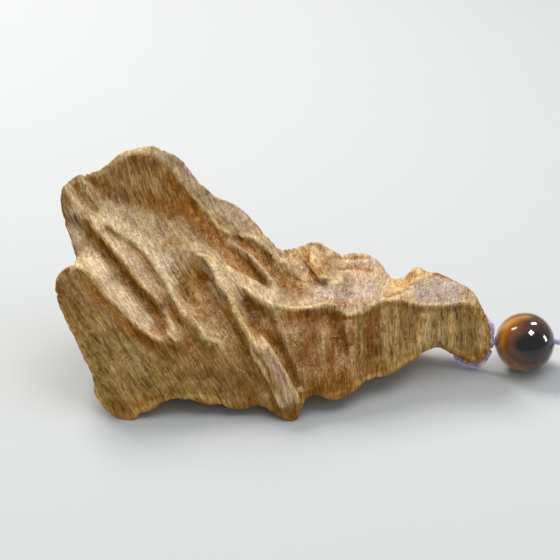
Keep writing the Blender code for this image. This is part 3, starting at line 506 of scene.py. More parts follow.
GULLIES = [
    (0.6, -0.3, [(-32.9, 1.0), (-31.4, -0.3), (-29.7, -2.8), (-27.6, -4.9), (-25.3, -7.3), (-23.6, -8.8),
                 (-21.6, -10.4), (-20.0, -12.2), (-18.3, -14.4)]),
    (1.0, -0.32, [(-31.4, 8.0), (-29.8, 5.4), (-27.6, 2.4), (-25.0, -0.8), (-22.4, -3.6), (-20.6, -5.8),
                  (-19.4, -8.0)]),
    (0.9, -0.22, [(-27.4, 8.0), (-25.4, 6.0), (-23.6, 4.2), (-21.6, 1.0), (-20.2, -1.6), (-18.9, -3.9),
                  (-17.6, -6.4), (-16.0, -8.3), (-14.2, -11.6)]),
    (0.35, -0.12, [(-34.2, 15.9), (-33.0, 14.1), (-31.5, 12.2), (-30.2, 11.2)]),
    (0.35, -0.2, [(-31.4, 16.6), (-30.0, 14.6), (-28.8, 12.9)]),
    (1.1, -0.4, [(-17.4, 15.4), (-15.4, 12.8), (-13.7, 10.8), (-12.1, 9.0), (-9.6, 6.2), (-6.9, 3.5),
                 (-4.1, 0.9), (-2.2, -0.9)]),
    (1.2, -0.3, [(-6.9, 7.0), (-5.2, 6.0), (-3.3, 4.4), (-1.5, 2.4), (0.2, 0.7), (1.8, -0.7), (3.9, -1.6),
                 (5.8, -2.4)]),
    (1.3, -0.5, [(-16.6, 0.0), (-15.9, -1.2), (-14.4, -3.4), (-12.9, -5.4), (-11.4, -7.6), (-10.2, -10.0)]),
    (0.9, -0.4, [(-13.9, 0.8), (-13.4, -0.4), (-12.2, -3.2), (-10.6, -5.2), (-9.3, -7.8)]),
    (0.7, -0.4, [(-9.4, -4.2), (-7.9, -7.4), (-6.6, -10.2), (-5.2, -13.4), (-3.6, -16.4), (-2.0, -19.4)]),
    (1.0, -0.6, [(-5.6, -2.8), (-5.0, -4.2), (-4.6, -6.2), (-3.4, -8.2)]),
    (0.6, -0.4, [(-1.9, -9.6), (-0.4, -11.6), (0.9, -13.6), (2.4, -16.8), (3.4, -19.2)]),
    (0.6, -0.35, [(-3.4, -5.2), (-1.9, -6.2), (-0.9, -8.4)]),
    (0.9, -0.45, [(3.6, -5.8), (5.2, -6.1), (5.1, -8.2), (5.2, -12.0), (5.4, -16.0)]),
    (0.8, -0.4, [(8.4, -5.2), (8.9, -6.4), (9.3, -8.8), (9.7, -12.4), (9.6, -17.0)]),
    (0.8, -0.35, [(14.9, -6.0), (14.4, -8.3), (14.8, -12.0), (14.8, -15.0)]),
    (0.7, -0.35, [(21.2, -5.2), (21.0, -8.5), (21.3, -12.2)]),
    (0.7, -0.3, [(25.9, -5.6), (25.8, -8.0), (25.7, -10.4)]),
    (0.9, -0.35, [(30.7, -5.4), (30.7, -8.5), (30.6, -11.8)]),
    (0.55, -0.2, [(1.4, 4.0), (2.3, 2.7), (4.0, 1.2), (6.0, -0.1), (7.6, -0.7)]),
    (0.45, -0.2, [(4.1, 4.8), (4.6, 3.0), (5.5, 1.6), (7.0, 0.3)]),
    (0.25, -0.25, [(2.4, 0.3), (4.1, -0.1), (6.3, -0.6)]),
    (0.3, -0.2, [(7.6, 3.8), (10.6, 3.6), (14.8, 3.7)]),
    (0.35, -0.25, [(9.2, 1.9), (12.4, 2.1), (15.6, 1.7)]),
    (0.25, -0.2, [(3.4, 5.2), (5.2, 5.6), (6.5, 5.3), (6.9, 4.7)]),
    (0.5, -0.25, [(19.0, -0.9), (20.6, -0.8), (21.9, 0.2)]),
]
CRACKS = [
    [(-28.4, -8.0), (-27.2, -9.1), (-26.3, -10.8), (-25.4, -12.3), (-24.8, -13.6)],
    [(-13.7, -16.8), (-12.9, -18.4), (-12.2, -20.0)],
    [(-10.9, -16.1), (-10.0, -18.0), (-9.3, -19.8)],
    [(-13.9, 4.7), (-13.0, 4.6), (-12.0, 4.3)],
    [(-22.1, -14.0), (-22.0, -14.3)],
    [(-29.6, -9.6), (-28.4, -11.8), (-27.8, -13.4)],
    [(-31.2, -8.8), (-30.2, -10.6)],
    [(-23.9, -11.6), (-22.8, -13.8), (-22.2, -15.4)],
    [(-19.0, -14.8), (-17.8, -17.2), (-17.2, -18.8)],
    [(-1.95, -11.6), (-1.8, -11.9)],
    [(-0.4, -16.3), (-0.2, -16.6)],
    [(15.0, -5.8), (15.2, -6.1)],
    [(29.6, -5.6), (29.4, -9.0), (29.6, -11.4)],
    [(31.6, -5.6), (31.7, -8.8), (31.4, -12.0)],
    [(13.4, -7.0), (13.2, -10.8), (13.4, -15.2)],
    [(15.9, -6.8), (16.0, -9.8), (16.2, -13.2)],
]

# Places where the solid's ledges are worn softer, each a half width and a line
SOFTENED = [
    (2.4, [(-20.0, 3.4), (-17.6, 3.6), (-15.4, 3.8), (-13.4, 3.4)]),
    (2.0, [(-34.4, 15.8), (-32.6, 13.8), (-30.4, 11.4)]),
    (1.2, [(-9.6, 7.4), (-7.6, 6.2)]),
]

# The narrow end's outer edge, which smoothing would draw in
TIP_EDGE = [(31.4, -4.6), (33.4, -6.6), (34.4, -9.0), (34.2, -11.4), (32.8, -13.4)]

# The wood's colours in its places, laid one over the other: colour, half width, strength and line
PAINT = [
    # the lobe and the left of the front
    ("olive", 4.2, 0.85, [(-34.6, -1.6), (-32.0, -7.6), (-29.0, -14.0), (-26.6, -19.6)]),
    ("olive", 4.2, 0.8, [(-27.0, -8.6), (-24.0, -14.4), (-21.4, -18.6)]),
    ("drab", 3.6, 0.75, [(-21.4, -13.6), (-17.0, -16.0), (-12.0, -17.6), (-6.6, -18.4)]),
    ("red brown", 1.4, 0.45, [(-31.4, -1.8), (-29.4, -4.2), (-28.0, -5.6)]),
    ("red brown", 1.3, 0.4, [(-18.6, -11.6), (-15.6, -13.4)]),
    ("dark olive", 1.6, 0.5, [(-21.3, -16.6), (-20.4, -17.6)]),
    ("dark olive", 1.4, 0.6, [(-7.6, -16.4), (-6.0, -18.0)]),
    ("red brown", 1.5, 0.5, [(-18.6, -10.6), (-15.4, -12.0), (-12.6, -12.6)]),
    ("umber", 1.0, 0.5, [(-15.4, -8.8), (-14.4, -12.0), (-13.6, -14.6)]),
    ("pink", 0.9, 0.6, [(-11.6, -6.8), (-10.0, -7.4)]),
    ("cream", 0.2, 0.9, [(-12.8, -6.8), (-11.6, -8.5), (-10.0, -9.0), (-8.8, -8.0)]),
    ("cream", 0.2, 0.8, [(-13.4, -7.6), (-12.0, -9.6), (-10.0, -10.2), (-8.4, -9.2)]),
    ("umber", 0.2, 0.6, [(-13.0, -7.2), (-11.8, -9.0), (-10.0, -9.6), (-8.6, -8.6)]),
    ("cream", 0.1, 0.8, [(-8.0, -13.9), (-4.6, -16.5)]),
    ("cream", 0.1, 0.7, [(-7.7, -14.5), (-4.9, -16.8)]),
    ("pink", 0.5, 0.6, [(-20.4, -7.6), (-19.4, -9.2)]),
    ("honey", 0.6, 0.5, [(-36.6, -3.8), (-34.4, -9.0), (-31.8, -15.0), (-30.6, -19.6), (-27.6, -22.6)]),
    ("red brown", 1.8, 0.5, [(-35.4, 0.4), (-33.6, -1.8), (-31.6, -4.6), (-30.4, -6.6)]),
    ("honey", 0.5, 0.6, [(-24.6, -22.4), (-20.6, -20.2), (-14.0, -19.3), (-8.0, -20.5)]),
    # the wall under the crest: brown, darker under the rim and at its ends, partly the wood's own brown and
    # partly painted shade
    ("wall", 2.6, 0.85, [(-28.6, 16.2), (-25.0, 17.6), (-21.4, 18.4), (-18.6, 17.6)]),
    ("wall", 2.2, 0.7, [(-26.6, 13.6), (-22.6, 14.6), (-18.8, 14.2)]),
    # painted shade under the rim
    ("dark wall", 0.9, 0.6, [(-25.4, 18.6), (-22.0, 19.6), (-19.6, 18.9)]),
    ("dark wall", 0.8, 0.6, [(-28.8, 15.6), (-26.6, 12.6)]),
    ("dark wall", 0.8, 0.6, [(-17.6, 16.6), (-16.0, 13.4), (-14.6, 11.4)]),
    ("ochre", 1.8, 0.7, [(-22.4, 12.2), (-19.0, 12.4), (-17.0, 10.4)]),
    ("umber", 0.35, 0.45, [(-34.2, 16.0), (-33.0, 14.2), (-31.5, 12.2), (-30.2, 11.2)]),
    ("dark wall", 0.4, 0.6, [(-31.4, 16.6), (-30.0, 14.6), (-28.8, 12.9)]),
    ("pink", 0.3, 0.7, [(-33.2, 16.4), (-31.8, 14.5), (-30.3, 12.4), (-29.2, 11.2)]),
    ("dark wall", 0.3, 0.6, [(-29.6, 17.4), (-28.4, 15.8), (-27.2, 13.8)]),
    ("dark wall", 0.35, 0.6, [(-27.4, 18.6), (-26.0, 16.8), (-24.8, 14.8)]),
    ("umber", 0.35, 0.5, [(-24.0, 18.8), (-22.6, 16.0), (-21.4, 13.6)]),
    ("dark wall", 1.2, 0.6, [(-26.4, 18.0), (-25.6, 16.4)]),
    ("ochre", 0.8, 0.5, [(-23.4, 15.4), (-21.6, 13.4)]),
    ("ochre", 0.7, 0.5, [(-18.8, 18.0), (-17.6, 15.4), (-16.2, 12.8)]),
    ("pink", 0.4, 0.6, [(-27.8, 14.6), (-26.0, 12.4), (-24.0, 11.0)]),
    ("umber", 0.35, 0.5, [(-21.0, 18.8), (-19.6, 16.0), (-18.2, 13.6)]),
    ("cream", 0.55, 0.7, [(-35.6, 15.2), (-33.0, 17.3), (-29.8, 18.1), (-27.2, 20.1), (-24.6, 21.4),
                          (-21.2, 21.9)]),
    ("pink", 1.3, 0.8, [(-21.2, 21.6), (-18.4, 20.4), (-15.4, 17.6), (-12.4, 14.0), (-9.0, 11.6),
                        (-5.6, 9.6)]),
    ("pink", 1.6, 0.6, [(-7.6, 10.4), (-4.4, 7.6), (-1.6, 5.0)]),
    # the floor of the crest and the treads of the folds
    ("pink", 2.2, 0.6, [(-29.4, 12.4), (-24.4, 9.4), (-20.6, 7.4), (-18.6, 8.4)]),
    ("pink", 1.3, 0.85, [(-34.6, 12.4), (-33.8, 8.6), (-33.2, 4.8)]),
    ("umber", 0.25, 0.5, [(-18.6, 11.6), (-16.4, 8.8), (-14.4, 6.2)]),
    ("umber", 0.25, 0.5, [(-20.9, 10.2), (-19.4, 7.8), (-17.9, 5.6)]),
    ("umber", 0.3, 0.4, [(-26.4, 11.6), (-24.4, 9.8), (-22.8, 7.6)]),
    ("cream", 0.3, 0.6, [(-19.8, 11.4), (-17.6, 8.4), (-15.4, 5.8)]),
    ("cream", 0.3, 0.5, [(-23.4, 10.6), (-21.6, 8.4), (-19.6, 5.8)]),
    ("tread", 1.45, 0.9, [(-32.0, 5.8), (-30.8, 2.9), (-29.2, 0.8), (-27.4, -1.6), (-25.6, -3.8),
                          (-23.6, -5.9), (-21.2, -8.0)]),
    ("pink", 0.9, 0.5, [(-30.6, 3.4), (-28.4, 0.6), (-26.2, -2.2)]),
    ("red brown", 0.6, 0.6, [(-33.2, 0.9), (-31.2, -0.9), (-29.4, -3.6), (-27.2, -5.8), (-25.0, -8.1),
                             (-22.6, -10.1)]),
    ("pink", 0.9, 0.7, [(-27.4, 6.2), (-24.6, 3.2), (-22.2, 0.2), (-20.2, -2.8), (-18.6, -5.6)]),
    ("tread", 1.4, 0.9, [(-31.0, 10.2), (-27.6, 9.2), (-24.4, 7.2), (-21.4, 4.7), (-19.2, 1.5),
                         (-17.4, -1.8),
                          (-15.4, -4.7), (-13.4, -7.2)]),
    # the folds' risers: brown, with dark umber lines below the ridges as painted shade
    ("ochre brown", 0.95, 0.85, [(-31.4, 8.0), (-29.6, 5.2), (-27.6, 2.6), (-25.0, -0.4), (-22.6, -3.0),
                                 (-20.8, -5.6), (-19.6, -8.0), (-18.4, -10.4)]),
    # painted shade on the ridges' sides turned from the light
    ("dark umber", 0.35, 0.3, [(-30.6, 7.2), (-28.0, 3.8), (-25.2, 0.4), (-22.4, -2.2), (-20.6, -4.8)]),
    ("ochre brown", 0.85, 0.6, [(-27.2, 8.0), (-25.2, 6.2), (-23.4, 4.2), (-21.4, 1.0), (-20.0, -1.8),
                                (-18.7, -4.0),
                                 (-17.4, -6.6), (-15.8, -8.6), (-14.6, -12.0)]),
    ("dark umber", 0.3, 0.25, [(-24.6, 6.2), (-22.2, 3.6), (-20.8, 1.0), (-19.6, -1.4), (-18.3, -3.8)]),
    ("pink", 1.0, 0.8, [(-26.6, 6.0), (-23.8, 2.8), (-21.8, 0.2), (-20.0, -2.8)]),
    ("tread", 0.9, 0.8, [(-24.6, 7.4), (-22.4, 5.4), (-20.8, 2.8), (-19.6, 0.4), (-18.2, -2.6)]),
    ("ochre", 0.8, 0.7, [(-32.4, 0.2), (-30.2, -2.4), (-27.6, -5.2), (-25.2, -7.6), (-22.8, -9.8),
                         (-20.6, -11.6)]),
    # the hollow between the third fold and the spike
    ("tread", 1.5, 0.55, [(-19.6, 3.0), (-17.0, 2.8), (-14.4, 3.2)]),
    ("ochre brown", 1.7, 0.75, [(-16.2, 0.2), (-15.6, -2.0), (-14.2, -4.4), (-12.4, -7.0)]),
    ("umber", 1.0, 0.7, [(-16.2, -0.4), (-15.2, -2.4), (-13.8, -3.6)]),
    ("dark umber", 0.3, 0.7, [(-17.0, 0.4), (-16.2, -1.4), (-15.0, -2.3), (-14.0, -1.7), (-14.2, -0.6)]),
    ("dark umber", 0.25, 0.6, [(-16.2, -2.6), (-14.8, -3.6), (-13.4, -3.2)]),
    ("cream", 0.2, 0.6, [(-17.4, -1.8), (-16.0, -3.6), (-14.2, -4.6), (-12.8, -4.2)]),
    ("cream", 0.2, 0.5, [(-16.6, -3.4), (-15.2, -5.0), (-13.4, -5.8), (-11.8, -5.2)]),
    ("honey", 0.3, 0.6, [(-15.6, 2.2), (-14.8, -0.4), (-13.8, -2.8)]),
    ("tread", 0.7, 0.45, [(-19.4, 4.6), (-17.4, 4.9), (-15.0, 5.2)]),
    ("ochre brown", 1.3, 0.6, [(-10.6, -4.6), (-8.6, -8.0), (-6.8, -11.4), (-4.6, -16.0), (-2.6, -19.6)]),
    # the middle gullies
    ("ochre", 1.7, 0.85, [(-16.6, 13.4), (-14.2, 10.4), (-12.4, 8.4), (-9.9, 6.4), (-7.8, 4.2),
                          (-5.8, 1.5)]),
    ("ochre", 0.9, 0.8, [(-6.6, 2.6), (-5.0, 0.8), (-3.4, -0.7), (-2.1, -1.7)]),
    ("ochre brown", 0.9, 0.6, [(-14.4, 11.4), (-12.0, 8.6), (-9.4, 6.4), (-7.2, 4.2)]),
    ("ochre brown", 1.35, 0.9, [(-8.4, 7.5), (-5.6, 6.1), (-3.0, 4.1), (-1.3, 1.9), (0.9, 0.3), (3.0, -1.4),
                                 (4.8, -2.6)]),
    ("umber", 0.8, 0.55, [(-5.2, 6.0), (-3.0, 4.2), (-0.8, 1.9), (1.4, -0.2), (4.0, -1.8)]),
    ("pink", 0.65, 0.85, [(-9.2, 6.7), (-6.7, 5.0), (-4.6, 3.4), (-3.3, 2.0), (-2.0, 0.3), (-0.2, -2.2)]),
    # between the spike's ridge and the front's upper edge
    ("tread", 1.4, 0.7, [(-11.8, 3.0), (-10.2, 1.4), (-8.4, -0.2), (-6.2, -1.0), (-3.4, -2.4),
                         (0.0, -3.8)]),
    ("tread", 1.0, 0.6, [(-10.0, 0.6), (-9.0, -1.8), (-8.0, -3.6)]),
    ("honey", 0.8, 0.85, [(-8.9, -3.2), (-6.9, -6.2), (-5.3, -8.5), (-3.8, -10.8)]),
    # the spike
    ("pink", 1.1, 0.8, [(-2.8, -10.2), (-1.9, -12.7), (-0.2, -15.4), (0.9, -18.1), (1.7, -21.0)]),
    ("rose grey", 0.45, 0.85, [(-12.3, 3.2), (-10.8, 0.2), (-9.6, -2.2), (-8.9, -3.8)]),
    ("umber", 0.55, 0.7, [(-9.5, -4.7), (-7.6, -7.5), (-6.1, -9.8), (-4.9, -12.0), (-3.4, -14.8),
                          (-1.9, -17.2)]),
    ("honey", 0.5, 0.5, [(-14.4, 1.8), (-13.8, -1.0), (-12.8, -4.0)]),
    ("ochre", 1.2, 0.6, [(-4.4, -7.4), (-2.4, -9.2), (-0.6, -11.4)]),
    ("dark umber", 0.55, 0.8, [(-5.4, -3.9), (-4.4, -4.6), (-3.3, -4.8)]),
    ("umber", 1.2, 0.85, [(-6.4, -2.4), (-5.2, -4.0), (-4.4, -5.6), (-3.0, -7.4)]),
    ("ochre brown", 1.3, 0.7, [(-5.0, -6.4), (-3.2, -8.6), (-1.4, -10.0), (-0.4, -8.0)]),
    ("umber", 0.7, 0.75, [(-0.2, -11.4), (1.2, -14.0), (2.5, -16.6), (3.2, -19.4)]),
    # the front to the right of the spike
    ("golden", 3.8, 0.9, [(1.0, -9.0), (3.6, -14.0), (6.4, -16.6), (10.4, -13.0)]),
    ("ochre", 1.6, 0.75, [(0.4, -6.4), (3.4, -6.6), (6.4, -6.6), (9.4, -7.0)]),
    ("ochre brown", 1.0, 0.7, [(5.2, -6.4), (5.2, -9.6), (5.4, -14.0)]),
    ("ochre brown", 0.9, 0.7, [(8.9, -6.6), (9.4, -10.4), (9.7, -15.6)]),
    ("golden", 3.0, 0.75, [(12.6, -8.0), (14.6, -12.4), (17.4, -9.4)]),
    ("flute", 2.8, 0.8, [(20.8, -9.4), (27.0, -8.0), (32.0, -9.0)]),
    ("red brown", 0.5, 0.6, [(14.9, -5.4), (15.2, -8.4), (15.0, -11.6)]),
    ("dark flute", 0.5, 0.7, [(13.2, -6.2), (13.4, -9.6), (13.6, -14.4)]),
    ("dark flute", 0.5, 0.85, [(17.7, -4.8), (18.2, -9.3), (17.2, -13.2)]),
    ("dark flute", 1.1, 0.9, [(21.4, -4.9), (21.4, -8.0), (20.6, -11.4)]),
    ("honey", 0.7, 0.8, [(23.9, -5.1), (23.2, -8.0), (22.3, -11.4)]),
    ("dark flute", 0.8, 0.6, [(25.8, -5.4), (25.6, -8.4)]),
    ("honey", 0.6, 0.9, [(28.1, -5.2), (28.2, -11.0)]),
    ("dark flute", 1.3, 0.8, [(30.4, -5.2), (30.6, -8.8), (31.2, -12.6)]),
    ("honey", 0.7, 0.8, [(33.3, -6.4), (33.8, -9.4), (33.4, -12.0)]),
    ("pink", 0.5, 0.6, [(33.4, -7.2), (33.7, -11.6)]),
    ("honey", 0.45, 0.6, [(32.6, -13.2), (29.4, -11.8), (26.0, -10.7), (22.6, -12.4), (18.4, -15.0),
                          (12.4, -17.4)]),
    # the saddle, the peaks and the end facet
    ("pink", 2.2, 0.6, [(3.6, -3.4), (8.4, -2.4), (13.6, -2.8), (17.0, -1.6)]),
    ("rose grey", 2.6, 0.65, [(4.6, -3.0), (8.4, -1.8), (13.6, -1.8), (17.0, -1.0)]),
    ("pink", 2.0, 0.55, [(9.0, 2.6), (13.0, 2.6), (16.6, 1.4)]),
    ("pink", 1.3, 0.7, [(9.8, 1.0), (11.6, 0.2), (13.4, -0.4)]),
    ("ochre", 0.6, 0.35, [(6.0, -3.3), (11.6, -4.2), (15.0, -3.2)]),
    ("pink", 0.9, 0.7, [(1.6, 3.6), (3.0, 2.2), (5.0, 0.9)]),
    ("ochre brown", 0.6, 0.85, [(3.7, 5.2), (4.6, 3.9), (5.6, 2.4), (6.8, 0.9)]),
    ("umber", 0.25, 0.85, [(2.4, 4.2), (3.2, 3.6), (4.2, 2.2), (6.7, 0.3), (8.4, -0.5), (10.0, -1.0)]),
    ("dark umber", 0.25, 0.7, [(2.4, 0.3), (4.1, -0.1), (6.3, -0.7), (8.0, -1.2)]),
    ("umber", 0.22, 0.8, [(4.4, 5.9), (5.6, 6.0), (6.6, 5.7), (7.2, 5.0)]),
    ("pink", 0.3, 0.9, [(2.7, 4.2), (3.9, 2.3), (5.2, 0.7), (7.4, -0.2), (9.3, -0.9)]),
    ("cream", 0.3, 0.9, [(5.1, 4.6), (5.7, 3.0), (6.6, 1.3), (7.9, 0.3), (9.6, -0.6)]),
    ("umber", 0.25, 0.5, [(7.6, 3.8), (10.6, 3.6), (14.8, 3.7)]),
    ("umber", 0.3, 0.65, [(9.6, 1.8), (12.4, 2.05), (15.6, 1.7)]),
    ("ochre", 0.4, 0.35, [(12.6, 1.5), (15.2, 1.2)]),
    ("rose grey", 2.2, 0.9, [(21.9, -2.4), (26.4, -1.8), (30.6, -2.7)]),
    ("honey", 0.9, 0.7, [(18.4, -1.6), (21.0, -0.2), (23.4, 1.4)]),
    ("umber", 0.25, 0.8, [(13.5, -4.3), (16.4, -3.4), (19.1, -2.4), (22.8, -0.4), (26.4, 1.0),
                          (29.3, -0.2)]),
    ("umber", 0.7, 0.5, [(21.0, -0.2), (22.0, 0.8), (22.6, 1.5)]),
]

# steep and level are painted shade and painted light, for the faces turned away and turned up
COLOURS = {
    "cream": (228, 203, 158), "pink": (206, 181, 156), "rose grey": (158, 146, 144), "golden": (136, 88, 34),
    "ochre": (164, 104, 36), "ochre brown": (146, 95, 36), "umber": (130, 86, 42), "dark umber": (92, 60, 28),
    "olive": (166, 137, 86), "dark olive": (112, 84, 42), "drab": (150, 120, 70), "red brown": (138, 88, 46),
    "tread": (230, 208, 178), "honey": (216, 176, 108), "flute": (234, 210, 162), "lit_level": (198, 172, 138),
    "steep": (156, 112, 54), "dark flute": (184, 154, 106), "wall": (186, 146, 100),
    "dark wall": (146, 108, 68),
}

# How the solid becomes the fine surface: rounds of smoothing, sizes in millimetres, and the shares of the
# ridges' and gullies' heights and widths that are added to the solid's own shape
SUBDIVISIONS = 2
SMOOTHING_ROUNDS = 5
SHARPEN = 0.9
SHARPEN_ROUNDS = 12
SHARPEN_LIMIT = 0.25
SOFT_ROUNDS = 70
RIM_ROUNDS = 12
TIP_SWELL = 0.5
RIDGE_RISE = 0.5
GULLY_SINK = 0.65
GULLY_SPREAD = 1.25
LINE_TAPER = 1.5
CRACK_SIZE = 0.25
WANDER = 0.22
RIPPLE_SIZE = 0.08
FIBRE_SIZE = 0.08
LUMP_SIZE = 0.09
GRAIN_SIZE = 0.035

# The first ridges are the folds' edges, laid pale cream: pale wood and, partly, painted highlight; the later
# ones are the fainter ribs
FOLD_RIDGES = 13


def fine_mesh(node):
    """The node's solid with its facets rounded into a fine, even surface."""
    bm = bmesh.new()
    bm.from_mesh(node.data)
    bmesh.ops.remove_doubles(bm, verts=bm.verts, dist=2e-6)
    crease = bm.edges.layers.float.new("crease_edge")
    for edge in bm.edges:
        angle = math.degrees(edge.calc_face_angle(0))
        edge[crease] = min(max((angle - 40) / 50, 0), 0.6)
    coarse = bpy.data.meshes.new("coarse wood")
    bm.to_mesh(coarse)
    bm.free()
    obj = new_object("coarse wood", coarse)
    rounding = obj.modifiers.new("rounding", "SUBSURF")
    rounding.levels = rounding.render_levels = SUBDIVISIONS
    graph = bpy.context.evaluated_depsgraph_get()
    mesh = bpy.data.meshes.new_from_object(obj.evaluated_get(graph))
    bpy.data.objects.remove(obj)
    return mesh


def grain_of(seen, depth):
    """The wood's own directions at each point: across the fibres, along them and through the layers."""
    across, up = seen.T
    lean = (0.6 - 0.009 * np.maximum(up, 0)) * (1 - ramp(across, -9, 12)) + 0.03
    return np.stack([across + lean * up, -up + 0.25 * across, depth], axis=1)


def carve(surface):
    """Fine relief: the folds' edges and creases, lengthwise ripples, fibres, lumps and cracks."""
    once = surface.blurred(surface.points, SMOOTHING_ROUNDS)
    surface.points = 2 * once - surface.blurred(once, SMOOTHING_ROUNDS)
    seen = surface.as_seen()
    soft = sum(nearness(seen, line, width) for width, line in SOFTENED)[:, None]
    surface.points += np.minimum(soft, 1) * (surface.blurred(surface.points, SOFT_ROUNDS) - surface.points)
    surface.read_normals()
    outer = ramp(surface.normals[:, 0], 0.2, 0.8) * nearness(seen, TIP_EDGE, 1.8)
    surface.points += surface.normals * (TIP_SWELL * outer)[:, None]
    seen = surface.as_seen()
    turned = surface.normals @ TO_VIEW
    facing = ramp(turned, -0.05, 0.3)
    rim = 1 - ramp(np.abs(turned), 0.1, 0.45)
    once = surface.blurred(surface.points, RIM_ROUNDS)
    surface.points += rim[:, None] * (2 * once - surface.blurred(once, RIM_ROUNDS) - surface.points)
    calm = ramp(np.abs(turned), -0.05, 0.5)
    grain = grain_of(seen, surface.points[:, 1])
    front = facing > 0
    sharp = np.clip(surface.bulge(SHARPEN_ROUNDS), -SHARPEN_LIMIT, SHARPEN_LIMIT)
    surface.points += surface.normals * (calm * SHARPEN * sharp)[:, None]
    height = np.zeros(len(seen))
    wander = WANDER * np.stack([layered(surface.points * 0.5, 2, seed=s) for s in (31, 37)], 1)
    flat = (seen + wander)[front]
    for width, rise, line in RIDGES:
        height[front] += RIDGE_RISE * rise * nearness(flat, line, width, 2, LINE_TAPER)
    for width, rise, line in GULLIES:
        height[front] += GULLY_SINK * rise * nearness(flat, line, GULLY_SPREAD * width, 2, LINE_TAPER)
    for line in CRACKS:
        height[front] -= CRACK_SIZE * nearness(flat, line, CRACK_SIZE)
    height *= facing
    ripple = layered(grain * (0.6, 0.06, 0.1), 2, seed=5)
    height += calm * (RIPPLE_SIZE * (1 - 2 * np.abs(ripple)) - RIPPLE_SIZE / 4)
    height += calm * FIBRE_SIZE * layered(grain * (1.7, 0.12, 0.3), 2, seed=9)
    height += calm * LUMP_SIZE * layered(surface.points * 0.3, 3, seed=21)
    height += GRAIN_SIZE * layered(surface.points * 1.6, 2, seed=25)
    surface.points += surface.normals * height[:, None]
    surface.points[:, 2] = np.maximum(surface.points[:, 2], 0.0)
    surface.read_normals()
    return seen, grain, facing


def painted(surface, seen, grain, facing):
    """The wood's broad colours at each point, with painted light and shade by how far each face turns up."""
    tone = {name: np.array(linear(*rgb)[:3]) for name, rgb in COLOURS.items()}
    # Painted light and shade: faces turned up take the lighter level colour, steep faces the darker steep one
    uneven = 0.15 * layered(grain * (0.8, 0.15, 0.3), 2, seed=41)
    lit_level = ramp(surface.normals[:, 2] + uneven, 0.2, 0.8)[:, None]
    colour = tone["steep"] * (1 - lit_level) + tone["lit_level"] * lit_level
    patch = ramp(layered(grain * (0.22, 0.05, 0.08), 3, seed=43), -0.1, 0.35)[:, None] * 0.6
    colour = colour * (1 - patch) + tone["olive"] * patch
    patch = ramp(layered(grain * (0.3, 0.06, 0.1), 3, seed=47), 0.05, 0.45)[:, None] * 0.6
    colour = colour * (1 - patch) + tone["ochre brown"] * patch
    front = facing > 0
    ragged = 0.45 * layered(grain * (1.4, 0.14, 0.3), 3, seed=51)
    ragged = ragged + 0.25 * layered(surface.points * 1.1, 2, seed=53)
    flat = (seen + ragged[:, None] * (1.0, -0.4))[front]
    here, fade = colour[front], facing[front]

    def lay(name, width, strength, line):
        part = strength * nearness(flat, line, width, 4, min(width, 1.0)) * fade
        here[:] = here * (1 - part[:, None]) + tone[name] * part[:, None]

    for name, width, strength, line in PAINT:
        lay(name, width, strength, line)
    for width, _, line in GULLIES:
        lay("ochre brown", 0.7 * width, 0.35, line)
    # The folds' edges in pale cream, partly painted highlight
    for width, _, line in RIDGES[:FOLD_RIDGES]:
        lay("cream", max(0.5 * width, 0.35), 0.85, line)
    for width, _, line in RIDGES[FOLD_RIDGES:]:
        lay("cream", 0.8 * width, 0.2, line)
    for line in CRACKS:
        lay("dark umber", 0.2, 0.7, line)
    colour[front] = here
    return colour


def thin_lines(n, vector, width):
    """Thin curving lines, where a noise crosses its middle."""
    away = n.math("ABSOLUTE", n.math("SUBTRACT", n.noise(vector, 1.0, 2, 0.5), 0.5))
    return n.step(away, width, 0.2 * width)


